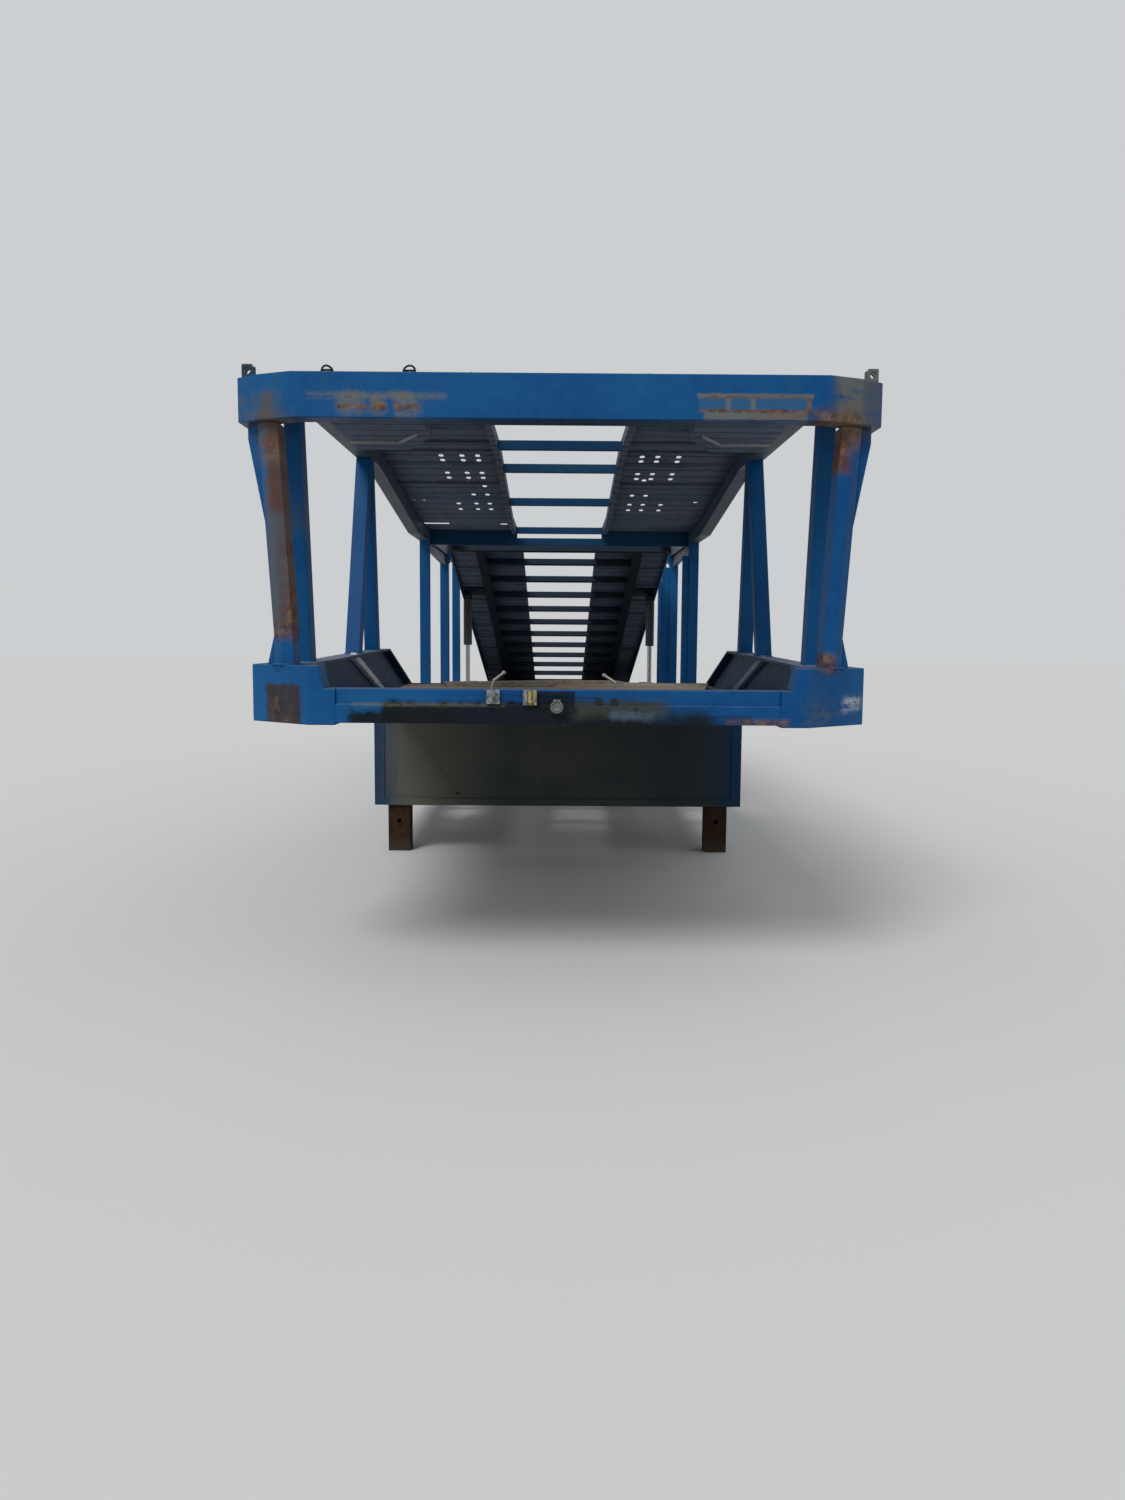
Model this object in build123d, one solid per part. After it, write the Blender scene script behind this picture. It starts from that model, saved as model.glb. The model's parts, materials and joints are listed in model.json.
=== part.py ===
from build123d import *
import os
from math import acos, asin, atan2, cos, degrees, hypot, pi, sin

os.makedirs("parts", exist_ok=True)

# Two-deck car transporter semi-trailer, standing uncoupled on its landing legs.
# Millimetres. The front faces -Y, Z is up, X = 0 is the centre plane, and the ground is Z = 0.
# Distances along the trailer are written as s, measured back from the front face.
length = 13600
plate = 8
running_gap = 0.05
socket_reach = 34

# Front lower beam and corner blocks
block_half = 1275
block_inner_half = 890
block_flat_half = 1000
block_chamfer_depth = 215
block_depth = 430
block_wall_half = 1010
block_low = 1100
block_high = 1336
block_slope_half = 958
beam_low = 1109
beam_step_height = 1184
beam_high = 1246
beam_step = 12
beam_depth = 130
block_shoulder = 45
cable_hole_radius = 12
# x, low edge and width of each air coupling
air_coupling_table = ((-260, 1190, 52), (-113, 1186, 56))
air_coupling_reach = 20
air_head_radius = 21
air_head_depth = 9
socket_x = -6
socket_high = 1180
socket_radius = 25
socket_plate_half = 33
socket_plate_thick = 6
socket_hinge_radius = 5
socket_hinge_half = 14
cable_hole_table = ((163, 1200), (223, 1200))

# Neck side beams
web_half = 1105
web_thick = 10
flange_width = 110
flange_thick = 12
neck_low = block_low
neck_crest_s = 2600
neck_crest_high = 1374
neck_tail_s = 3870
neck_tail_high = 1060
neck_foot_s = 4100
brace_top_s = 1495
brace_foot_s = 2500
brace_thick = 30
brace_width = 30
stiffener_width = 48
neck_cross_places = (440, 1040, 1640, 2240)
neck_cross_width = 70
neck_floor_thick = 18
neck_floor_gap = 6
neck_floor_high = 1136

# Coupling
kingpin_s = 1200
kingpin_radius = 25.4
kingpin_collar_radius = 36.5
kingpin_flange_height = 24
kingpin_neck_height = 34
kingpin_head_height = 26
kingpin_bevel = 6
kingpin_plate_radius = 80
kingpin_plate_thick = 12
kingpin_seat_gap = 0.5
coupling_half = 480
coupling_front_s = 620
coupling_back_s = 1900
coupling_thick = 10
coupling_nose = 60
coupling_nose_rise = 4
runner_width = 60

# Lower deck
bulkhead_s = 3080
bulkhead_half = 1238
bulkhead_thick = 6
bulkhead_return = 300
bulkhead_lip = 45
bulkhead_strip = 65
bulkhead_strip_thick = 8
bulkhead_lip_depth = 15
bulkhead_hole_x = -678
bulkhead_hole_high = 399
bulkhead_hole_radius = 9
deck_low = 315
deck_high = 470
kerb = 30
sill_wheel_lead = 260
sill_arch_rise = 150
sill_arch_run = 150
arch_side_gap = 40
sill_arch_thick = 10
sill_half = 1238
sill_inner_half = 1075
deck_gap_half = 300
deck_outer_half = 860
axle_spacing = 1350
rear_overhang = 3500
axle_deck_high = 830
axle_deck_lead = 430
axle_deck_trail = 420
climb_length = 1020
drop_length = 1230
tail_margin = 40
tail_high = 500
tail_low = 360
arch_clear = 28
rib_pitch = 300
rib_depth = 14
rib_width = 40
rib_bevel = 10
floor_rib_depth = 18
cross_pitch = 700
cross_width = 60
cross_depth = 100
cross_wall = 8
cross_leg_gap = 40
slope_margin = 80
wheel_margin = 200
tail_cross_gap = 6

# Main longitudinal beams
beam_half = 560
beam_flange = 90
beam_web = 10
beam_skin = 12
beam_axle_low = 600
beam_top_drop = 20
beam_low_gap = 10
beam_climb_lead = 240
beam_axle_trail = 60

# Landing legs
leg_half = 1076
leg_size = 146
leg_wall = 8
leg_hole_radius = 15
leg_hole_height = 206

# Wheels and axles
tyre_radius = 383.5
tyre_width = 211
tyre_shoulder = 20
tyre_sides = 44
tyre_side_gap = 4
twin_spacing = 240
rim_radius = 222
rim_wall = 7
rim_edge_inset = 22
bead_rise = 2
disc_thick = 14
hub_radius = 88
hub_length = 82
hub_cap_length = 105
hub_cap_bevel = 22
hub_cap_gap = 4
hand_hole_circle = 197
hand_hole_radius = 15
hand_holes = 8
axle_radius = 63.5
axle_shoulder_half = 770
spindle_radius = 45
spindle_half = 1150
drum_radius = 176
drum_length = 110
chamber_half = 330
chamber_radius = 70
chamber_length = 150
chamber_gap = 90
chamber_rise = 30
chamber_bevel = 12
chamber_bracket_width = 60
chamber_bracket_reach = 60

# Suspension and air tank
arm_width = 70
arm_thick = 44
arm_front = 560
arm_back = 430
arm_knee_front = 90
arm_knee_back = 180
arm_knee_run = 20
hanger_length = 150
hanger_foot_length = 50
spring_radius = 118
spring_seat_drop = 90
spring_piston_inset = 30
spring_piston_height = 60
spring_roll_height = 85
spring_top_inset = 25
spring_top_drop = 30
tank_half = 380
tank_radius = 100
tank_round = 35
tank_gap = 5
saddle_half = 260
saddle_width = 40

# Upper deck frame
post_half = 1155
post_width = 80
rail_low = 2460
rail_height = 100
rail_front_low = 2342
rail_rise_s = 980
rail_drop_s = 2400
rail_foot_s = 4250
rear_rail_low = 2235
rail_overrun = 120
upper_gap_half = 352
upper_runway_end_s = 5040
runway_lip = 6
runway_lip_drop = 30
runway_lip_rise = 25
runway_foot_width = 40
rung_size = 50
upper_plate = 3
rung_table_s = (1230, 2010, 2655, 3520, 4730)
pan_low = 2444
pan_plan = ((1075, 600), (1075, 1670), (800, 1670), (640, 1250), (640, 600))
deck_hole_radius = 15
deck_hole_length = 58
deck_hole_columns = (500, 595, 722)
deck_hole_rows = (2500, 2600, 2890, 3010, 3710, 3880)
deck_hole_extra = ((500, 3450), (595, 3450), (-500, 3450), (-595, 3450), (-1030, 3600), (-960, 3605),
                   (-504, 3223), (961, 3619), (467, 4205), (553, 3045))
# x from, x to, s from, s to of the slots burnt through the left runway
deck_slot_table = ((-1060, -864, 4430, 4540), (-465, -410, 4460, 4560))

# Front upper beam
top_low = 2300
top_high = 2475
top_flat_half = 1050
top_bend_half = 1190
top_half = 1288
top_bend_s = 60
top_side_s = 130
top_return_s = 330
top_depth = 110
top_wall_half = 1165
top_inner_side_s = 190
top_inner_bend_half = 1110
top_inner_bend_s = 150
top_inner_flat_half = 1030
lug_width = 44
lug_height = 66
lug_thick = 10
lug_gap = 34
lug_inset = 50
lug_edge_gap = 4
lug_hole_rise = 40
lug_hole_radius = 12
# x of the middle and width of each wire loop on the beam
loop_table = ((-916, 46), (-590, 40))
loop_wire = 7
loop_height = 18
loop_s = 45

# Posts
front_post_s = 90
front_post_depth = 120
front_post_bevel = 40
front_post_foot = (1073, 1160)
front_post_head = (1122, 1212)
front_post_knee_high = 1450
gusset_thick = 12
gusset_s = 154
foot_gusset = ((1100, 1336), (1195, 1336), (1155, 1500), (1100, 1500))
head_gusset = ((1160, 2300), (1256, 2300), (1256, 2240), (1182, 1850), (1140, 1850))
second_post_half = 1168
second_post_width = 70
second_post_depth = 98
second_post_top_s = 380
second_post_foot_s = 545
a_frame_apex_s = 2035
a_frame_apex_length = 140
a_frame_front_foot_s = 1627
a_frame_rear_foot_s = 2240
strut_depth = 90
side_post_table = ((4945, 80), (6560, 100), (7800, 80))
knee_post = 1
knee_low = 2150
knee_high = 2320
knee_lip = 20
knee_half = 985
# post, inner edge of the cover that runs up the right-hand posts
cover_table = ((0, 1025), (1, 1000))
cover_inset = 10
cover_high = 2130
haunch_front_high = 2190
haunch_rear_high = 2130
haunch_inner = 1100
haunch_width = 30

# Lifting platform, hinged behind the front upper deck
hinge_s = 5200
hinge_high = 2315
platform_length = 7000
platform_rest_gap = 109
platform_crest_gap = 30
platform_gap_half = 325
platform_half = 960
platform_rail_half = 720
platform_rail_width = 70
platform_rail_depth = 100
platform_rail_taper = 500
platform_rail_end_depth = 30
platform_start = 130
platform_rungs = 14
platform_edge_height = 45
pin_radius = 20
pin_eye_radius = 46
eye_inset = 80
eye_width = 50
ear_thick = 18
ear_gap = 5
ear_nose = 32
ear_rise = 18
pin_overhang = 12
hinge_beam_depth = 40
hinge_beam_low = 2212
hinge_beam_waist_high = 2271
platform_rib_depth = 14
platform_lip = 6
platform_lip_height = 30
platform_lip_gap = 5
platform_edge_drop = 40

# Lift cylinders
cylinder_inset = 55
cylinder_place = 1650
cylinder_drop = 70
barrel_radius = 42
barrel_length = 430
barrel_top_drop = 48
foot_pin_gap = 13
foot_eye_radius = 44
rod_radius = 22
foot_pin_high = 580
cylinder_pin_radius = 16
cylinder_eye_radius = 32
cylinder_eye_width = 36
cylinder_ear_thick = 12
cylinder_ear_gap = 5
cylinder_ear_half = 60
cylinder_ear_tip_half = 24
cylinder_ear_tip = 26
cylinder_pin_overhang = 6
cylinder_tie_half = 100
cylinder_tie_depth = 24
cylinder_tie_skin = 6
barrel_cap = 40
rod_engaged_drop = 60
foot_ear_half = 70
foot_base_half = 90
foot_base_thick = 12
bore_margin = 1

# Tail, ramps and lamps
ramp_half = 830
ramp_width = 380
ramp_length = 1850
ramp_thick = 60
ramp_low = 406
ramp_bays = 5
ramp_rim = 30
ramp_nose = 40
rear_beam_low = 270
rear_beam_depth = 110
lamp_width = 330
lamp_height = 90
lamp_depth = 24
lamp_bevel = 8
lamp_half = 900

axle_high = tyre_radius
outer_tyre_half = block_half - tyre_side_gap - tyre_width / 2
post_inner = post_half - post_width
axle_places = (length - rear_overhang - axle_spacing, length - rear_overhang)
axle_deck_front_s = axle_places[0] - axle_deck_lead
axle_deck_back_s = axle_places[-1] + axle_deck_trail
climb_s = axle_deck_front_s - climb_length
tail_level_s = axle_deck_back_s + drop_length
tail_end_s = length - tail_margin
rail_end_s = side_post_table[-1][0] + side_post_table[-1][1] + rail_overrun
eye_half = platform_half - eye_inset
cylinder_half = platform_half - cylinder_inset


def along(s):
    """Y of a place that lies s behind the front face."""
    return s - (length - socket_reach) / 2


def block(x0, x1, s0, s1, z0, z1):
    """Box from two opposite corners."""
    size = (x1 - x0, s1 - s0, z1 - z0)
    return Pos((x0 + x1) / 2, along((s0 + s1) / 2), (z0 + z1) / 2) * Box(*size)


def side_shape(points, x0, x1):
    """Side-view outline of (s, z) corners, extruded across from x0 to x1."""
    outline = make_face(Polyline(*[(along(s), z) for s, z in points], close=True))
    return extrude(Plane.YZ.offset(x0) * outline, x1 - x0)


def plan_shape(points, z0, z1):
    """Plan outline of (x, s) corners, extruded up from z0 to z1."""
    outline = make_face(Polyline(*[(x, along(s)) for x, s in points], close=True))
    return extrude(Plane.XY.offset(z0) * outline, z1 - z0)


def front_shape(points, s0, s1):
    """Front-view outline of (x, z) corners, extruded back from s0 to s1."""
    outline = make_face(Polyline(*[(x, -z) for x, z in points], close=True))
    plane = Plane(origin=(0, along(s0), 0), x_dir=(1, 0, 0), z_dir=(0, 1, 0))
    return extrude(plane * outline, s1 - s0)


def cross_rod(s, z, radius, x0, x1):
    """Round bar lying across the trailer."""
    turned = Pos((x0 + x1) / 2, along(s), z) * Rot(0, 90, 0)
    return turned * Cylinder(radius, x1 - x0)


def both_sides(shape):
    """A right-hand piece with its left-hand twin."""
    return [shape, mirror(shape, about=Plane.YZ)]


def fuse(shapes):
    """One solid from pieces that touch."""
    total = shapes[0]
    for shape in shapes[1:]:
        total = total + shape
    return total


def height_on(line, s):
    """Height of a polyline of (s, z) corners at s."""
    for (s0, z0), (s1, z1) in zip(line, line[1:]):
        if s <= s1:
            break
    return z0 + (z1 - z0) * (s - s0) / (s1 - s0)


def write(name, shapes):
    """One STEP file for one node."""
    solids = []
    for shape in shapes:
        solids.extend(shape.solids())
    export_step(Compound(children=solids), f"parts/{name}.step")


def band(line, low, high):
    """Closed outline between a polyline lowered by low and raised by high."""
    upper = [(s, z + high) for s, z in line]
    lower = [(s, z - low) for s, z in reversed(line)]
    return upper + lower


# Heights along the trailer that several pieces share
neck_line = [(block_depth, block_high), (neck_crest_s, neck_crest_high), (neck_tail_s, neck_tail_high)]
deck_line = [
    (bulkhead_s + bulkhead_thick, deck_high),
    (climb_s, deck_high),
    (axle_deck_front_s, axle_deck_high),
    (axle_deck_back_s, axle_deck_high),
    (tail_level_s, tail_high),
    (tail_end_s, tail_high),
]
rail_line = [
    (top_depth, rail_front_low),
    (rail_rise_s, rail_low),
    (rail_drop_s, rail_low),
    (rail_foot_s, rear_rail_low),
    (rail_end_s, rear_rail_low),
]
upper_line = [
    (top_depth, top_high),
    (rail_rise_s, rail_low + rail_height),
    (rail_drop_s, rail_low + rail_height),
    (rail_foot_s, rear_rail_low + rail_height),
    (upper_runway_end_s, rear_rail_low + rail_height),
]

# Parked slope of the platform: its end hangs just above the deck, and its rails clear the deck's crest
rest_high = height_on(deck_line, hinge_s + platform_length) + platform_rest_gap
crest_run = axle_deck_back_s - hinge_s
crest_drop = hinge_high - axle_deck_high - platform_crest_gap
crest_tilt = acos(platform_rail_depth / hypot(crest_run, crest_drop)) - atan2(crest_run, crest_drop)
tilt = min(asin((hinge_high - rest_high) / platform_length), crest_tilt)


def front_beam():
    lower = block(-block_inner_half, block_inner_half, 0, beam_depth, beam_low, beam_step_height)
    upper = block(-block_inner_half, block_inner_half, beam_step, beam_depth, beam_step_height, beam_high)
    inside = block(
        -block_inner_half + plate,
        block_inner_half - plate,
        beam_step + plate,
        beam_depth,
        beam_low,
        beam_high - plate,
    )
    beam = lower + upper - inside
    for x, z in cable_hole_table:
        beam = beam - Pos(x, along(beam_step), z) * Rot(90, 0, 0) * Cylinder(cable_hole_radius, plate * 4)
    return [beam]


def corner_blocks():
    plan = [
        (block_inner_half, 0),
        (block_flat_half, 0),
        (block_half, block_chamfer_depth),
        (block_half, block_depth),
        (block_wall_half, block_depth),
        (block_wall_half, beam_depth),
        (block_inner_half, beam_depth),
    ]
    outline = make_face(Polyline(*[(x, along(s)) for x, s in plan], close=True))
    room = offset(outline, -plate, kind=Kind.INTERSECTION)
    body = extrude(Plane.XY.offset(block_low) * outline, block_high - block_low)
    inside = extrude(Plane.XY.offset(block_low) * room, block_high - block_low - plate)
    for shape_shift, cut_low in ((0, beam_high), (plate, beam_high - plate)):
        slope = [
            (block_inner_half, cut_low),
            (block_inner_half + block_shoulder + shape_shift, cut_low),
            (block_slope_half + shape_shift, block_high),
            (block_inner_half, block_high),
        ]
        cut = front_shape(slope, 0, beam_depth)
        if shape_shift == 0:
            body = body - cut
        else:
            inside = inside - cut
    return both_sides(body - inside)


def neck_sides():
    start = block_depth
    rear = bulkhead_s + bulkhead_thick
    web_outline = [
        (start, neck_low),
        (bulkhead_s, neck_low),
        (rear, neck_low),
        (rear, deck_high + kerb),
        (neck_foot_s, deck_high + kerb),
        (neck_tail_s, neck_tail_high - flange_thick),
        (neck_crest_s, neck_crest_high - flange_thick),
        (start, block_high - flange_thick),
    ]
    web = side_shape(web_outline, web_half, web_half + web_thick)
    flange_low = web_half + web_thick / 2 - flange_width / 2
    flange = side_shape(band(neck_line, flange_thick, 0), flange_low, flange_low + flange_width)
    foot_flange = block(flange_low, flange_low + flange_width, start, bulkhead_s, neck_low, neck_low + flange_thick)
    top = height_on(neck_line, brace_top_s) - flange_thick / 2
    brace_outline = [
        (brace_top_s, top),
        (brace_top_s + brace_thick, top),
        (brace_foot_s + brace_thick, neck_low + flange_thick),
        (brace_foot_s, neck_low + flange_thick),
    ]
    pieces = [web, flange, foot_flange, side_shape(brace_outline, web_half - brace_width, web_half)]
    for s in neck_cross_places:
        seat = height_on(neck_line, s) - flange_thick / 2
        pieces.append(block(web_half + web_thick, web_half + stiffener_width, s, s + plate, neck_low, seat))
    return both_sides(fuse(pieces))


def neck_crossmembers():
    flange_low = web_half + web_thick / 2 - flange_width / 2
    low = neck_low + flange_thick
    high = neck_floor_high - neck_floor_thick
    bars = []
    for s in neck_cross_places:
        bars.append(block(-flange_low, flange_low, s, s + neck_cross_width, neck_low, high))
    runner = block(-coupling_half, -coupling_half + runner_width, beam_depth, bulkhead_s, neck_low, high)
    twin = mirror(runner, about=Plane.YZ)
    return [fuse(bars + [runner, twin])]


def neck_floor():
    low = neck_floor_high - neck_floor_thick
    half = block_wall_half - neck_floor_gap
    return [block(-half, half, beam_depth, bulkhead_s, low, neck_floor_high)]


def coupling_plate():
    outline = [
        (coupling_front_s, neck_low),
        (coupling_front_s, neck_low - coupling_thick + coupling_nose_rise),
        (coupling_front_s + coupling_nose, neck_low - coupling_thick),
        (coupling_back_s, neck_low - coupling_thick),
        (coupling_back_s, neck_low),
    ]
    drill = Pos(0, along(kingpin_s), neck_low) * Cylinder(kingpin_collar_radius + kingpin_seat_gap, coupling_thick * 4)
    return [side_shape(outline, -coupling_half, coupling_half) - drill]


def kingpin():
    flange_z = neck_low - coupling_thick - kingpin_flange_height
    head_z = flange_z - kingpin_neck_height
    tip_z = head_z - kingpin_head_height
    profile = [
        (0, neck_low + kingpin_plate_thick),
        (kingpin_plate_radius, neck_low + kingpin_plate_thick),
        (kingpin_plate_radius, neck_low),
        (kingpin_collar_radius, neck_low),
        (kingpin_collar_radius, flange_z),
        (kingpin_radius, flange_z),
        (kingpin_radius, head_z),
        (kingpin_collar_radius, head_z),
        (kingpin_collar_radius, tip_z + kingpin_bevel),
        (kingpin_collar_radius - kingpin_bevel, tip_z),
        (0, tip_z),
    ]
    face = make_face(Polyline(*[(r, z) for r, z in profile], close=True))
    pin = revolve(Plane.XZ * face, axis=Axis.Z)
    return [Pos(0, along(kingpin_s), 0) * pin]


def bulkhead():
    top = neck_low
    strip = bulkhead_strip
    front = block(-bulkhead_half, bulkhead_half, bulkhead_s, bulkhead_s + bulkhead_thick, deck_low, top)
    lip = block(
        -bulkhead_half + strip,
        bulkhead_half - strip,
        bulkhead_s - bulkhead_lip_depth,
        bulkhead_s,
        deck_low,
        deck_low + bulkhead_lip,
    )
    strip_front = bulkhead_s - bulkhead_strip_thick
    strips = both_sides(block(bulkhead_half - strip, bulkhead_half, strip_front, bulkhead_s, deck_low, top))
    wing = block(
        bulkhead_half - bulkhead_thick,
        bulkhead_half,
        bulkhead_s + bulkhead_thick,
        bulkhead_s + bulkhead_return,
        deck_high + kerb,
        top,
    )
    hole = Pos(bulkhead_hole_x, along(bulkhead_s), bulkhead_hole_high) * Rot(90, 0, 0)
    drill = hole * Cylinder(bulkhead_hole_radius, bulkhead_thick * 4)
    return [fuse([front, lip] + strips + both_sides(wing)) - drill]


def landing_legs():
    s = bulkhead_s + bulkhead_thick
    outer = block(leg_half - leg_size / 2, leg_half + leg_size / 2, s, s + leg_size, 0, deck_low)
    inner = block(
        leg_half - leg_size / 2 + leg_wall,
        leg_half + leg_size / 2 - leg_wall,
        s + leg_wall,
        s + leg_size - leg_wall,
        0,
        deck_low - leg_wall,
    )
    drill = Pos(leg_half, along(s + leg_size / 2), leg_hole_height) * Rot(90, 0, 0)
    hole = drill * Cylinder(leg_hole_radius, leg_size * 2)
    return both_sides(outer - inner - hole)


def side_sills():
    start = bulkhead_s + bulkhead_thick
    wheel_front = axle_places[0] - tyre_radius
    wheel_back = axle_places[-1] + tyre_radius
    under = axle_deck_high - arch_clear - sill_arch_thick
    outline = [
        (start, deck_low),
        (wheel_front - sill_wheel_lead, deck_low),
        (wheel_front - sill_wheel_lead + sill_arch_run, deck_low + sill_arch_rise),
        (wheel_front - arch_side_gap, under),
        (wheel_back + arch_side_gap, under),
        (wheel_back + arch_side_gap + sill_arch_run, tail_low + sill_wheel_lead),
        (tail_level_s, tail_low),
        (tail_end_s, tail_low),
    ]
    top = [(s, z + kerb) for s, z in reversed(deck_line)]
    sill = side_shape(outline + top, sill_inner_half, sill_half)
    return both_sides(sill)


def main_beams():
    start = bulkhead_s + bulkhead_thick
    drop = beam_top_drop + plate
    top = [(s, z - drop) for s, z in deck_line[:-1]] + [(tail_end_s - rear_beam_depth, tail_high - drop)]
    low = [
        (tail_end_s - rear_beam_depth, tail_low),
        (tail_level_s, tail_low),
        (axle_deck_back_s + beam_axle_trail, beam_axle_low),
        (axle_places[0] - arm_front - hanger_length, beam_axle_low),
        (climb_s + beam_climb_lead, deck_low + beam_low_gap),
        (start, deck_low + beam_low_gap),
    ]
    outline = top + low
    face = make_face(Polyline(*[(along(s), z) for s, z in outline], close=True))
    core = offset(face, -beam_skin, kind=Kind.INTERSECTION)
    rim = extrude(Plane.YZ.offset(beam_half - beam_flange / 2) * (face - core), beam_flange)
    web = extrude(Plane.YZ.offset(beam_half - beam_web / 2) * core, beam_web)
    return both_sides(rim + web)


def channel(s, z0, z1, x0, x1):
    """Folded crossmember, open to the rear."""
    back = s + cross_width
    outline = [
        (s, z0),
        (back, z0),
        (back, z0 + cross_wall),
        (s + cross_wall, z0 + cross_wall),
        (s + cross_wall, z1 - cross_wall),
        (back, z1 - cross_wall),
        (back, z1),
        (s, z1),
    ]
    return side_shape(outline, x0, x1)


def cross_places():
    """Front edges s of the crossmembers under the level stretches of the deck."""
    places = []
    place = bulkhead_s + bulkhead_thick + leg_size + cross_leg_gap
    while place < tail_end_s - rear_beam_depth - cross_width * 2:
        climbing = climb_s - slope_margin < place < axle_deck_front_s
        dropping = axle_deck_back_s - slope_margin < place < tail_level_s
        if not climbing and not dropping:
            places.append(place)
        place += cross_pitch
    return places


def deck_crossmembers():
    bars = []
    inner = beam_half - beam_flange / 2
    outer = beam_half + beam_flange / 2
    for place in cross_places():
        at_wheels = axle_deck_front_s - wheel_margin < place < axle_deck_back_s + wheel_margin
        if place < tail_level_s:
            high = height_on(deck_line, place) - beam_top_drop - plate
            low = high - cross_depth
        else:
            high = ramp_low - tail_cross_gap
            low = tail_low
        bars.append(channel(place, low, high, -inner, inner))
        if not at_wheels:
            bars += both_sides(channel(place, low, high, outer, sill_inner_half))
    return bars


def deck_runways():
    inner = beam_half - beam_flange / 2
    outer = beam_half + beam_flange / 2
    skin = side_shape(band(deck_line, plate, 0), deck_gap_half, deck_outer_half)
    edge = side_shape(band(deck_line, beam_top_drop + plate, 0), deck_gap_half - plate, deck_gap_half)
    under = [(s, z - plate) for s, z in deck_line]
    seat = side_shape(band(under, beam_top_drop, 0), inner, outer)
    pieces = [skin, edge, seat]
    place = deck_line[0][0] + rib_pitch
    while place < deck_line[-1][0] - rib_pitch:
        z0 = height_on(under, place)
        z1 = height_on(under, place + rib_width)
        corners = [
            (place, z0),
            (place + rib_width, z1),
            (place + rib_width, z1 - floor_rib_depth),
            (place, z0 - floor_rib_depth),
        ]
        pieces.append(side_shape(corners, outer, deck_outer_half))
        place += rib_pitch
    return both_sides(fuse(pieces))


def arch_covers():
    """Side panels of plate that close the deck over the outer tyres."""
    top = axle_deck_high
    cover = side_shape(
        [
            (axle_deck_front_s, top),
            (axle_deck_back_s, top),
            (axle_deck_back_s, top - plate),
            (axle_deck_front_s, top - plate),
        ],
        deck_outer_half,
        sill_inner_half,
    )
    return both_sides(cover)


def tail_beam():
    s = tail_end_s
    body = block(-sill_half, sill_half, s - rear_beam_depth, s, rear_beam_low, tail_low)
    slot = block(-sill_half, sill_half, s - rear_beam_depth + plate, s - plate, rear_beam_low, tail_low - plate)
    return [body - slot]


def tail_lamps():
    s = tail_end_s
    low = (rear_beam_low + tail_low - lamp_height) / 2
    lamp = block(lamp_half - lamp_width / 2, lamp_half + lamp_width / 2, s, s + lamp_depth, low, low + lamp_height)
    lamp = chamfer(lamp.faces().sort_by(Axis.Y)[-1].edges(), lamp_bevel)
    return both_sides(lamp)


def ramp(side):
    """Slide-out ramp: a shallow pan with cross webs beneath its plate."""
    x0 = side * ramp_half - ramp_width / 2
    start = length - ramp_length
    rim = block(x0, x0 + ramp_width, start, length, ramp_low, ramp_low + ramp_thick)
    bay = (ramp_length - ramp_nose) / ramp_bays
    for number in range(ramp_bays):
        s0 = start + ramp_nose + number * bay
        inner = x0 + ramp_rim
        outer = x0 + ramp_width - ramp_rim
        room = block(inner, outer, s0, s0 + bay - ramp_rim, ramp_low, ramp_low + ramp_thick - plate)
        rim = rim - room
    return [rim]


def tyre_ring(x_centre, s):
    """Tyre of flat tread segments, with bevelled shoulders and beads, standing on one segment."""
    corner_radius = tyre_radius / cos(pi / tyre_sides)
    bead = (rim_radius + bead_rise) / cos(pi / tyre_sides)
    turn = 180 / tyre_sides
    solid = extrude(Rot(0, 0, turn) * RegularPolygon(corner_radius, tyre_sides), tyre_width / 2, both=True)
    rim_edges = solid.faces().sort_by(Axis.Z)[-1].edges() + solid.faces().sort_by(Axis.Z)[0].edges()
    solid = chamfer(rim_edges, tyre_shoulder)
    hole = extrude(Rot(0, 0, turn) * RegularPolygon(bead, tyre_sides), tyre_width, both=True)
    return Pos(x_centre, along(s), axle_high) * Rot(0, 90, 0) * (solid - hole)


def twin_tyres(side, s):
    outer = side * outer_tyre_half
    inner = side * (outer_tyre_half - twin_spacing)
    return [tyre_ring(outer, s), tyre_ring(inner, s)]


def rim_pair(s):
    """Right-hand pair of wheels with the hub and drum that join them, as one revolved form."""
    mid = outer_tyre_half - twin_spacing / 2
    face_out = mid + disc_thick
    face_in = mid - disc_thick
    reach = tyre_width / 2 - rim_edge_inset
    bead = rim_radius + bead_rise
    outer_edge = outer_tyre_half + reach
    inner_edge = outer_tyre_half - twin_spacing - reach
    well = rim_radius - rim_wall
    bore = spindle_radius + running_gap
    profile = [
        (bore, face_in - drum_length),
        (drum_radius, face_in - drum_length),
        (drum_radius, face_in),
        (well, face_in),
        (well, inner_edge),
        (bead, inner_edge),
        (bead, inner_edge + reach * 2),
        (rim_radius, inner_edge + reach * 2),
        (rim_radius, outer_edge - reach * 2),
        (bead, outer_edge - reach * 2),
        (bead, outer_edge),
        (well, outer_edge),
        (well, face_out),
        (hub_radius, face_out),
        (hub_radius, face_out + hub_length),
        (hub_radius - hub_cap_bevel, face_out + hub_cap_length),
        (0, face_out + hub_cap_length),
        (0, spindle_half + hub_cap_gap),
        (bore, spindle_half + hub_cap_gap),
    ]
    face = make_face(Polyline(*profile, close=True))
    body = revolve(Plane.XY * face, axis=Axis.Y)
    return Pos(0, along(s), axle_high) * Rot(0, 0, -90) * body


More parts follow.
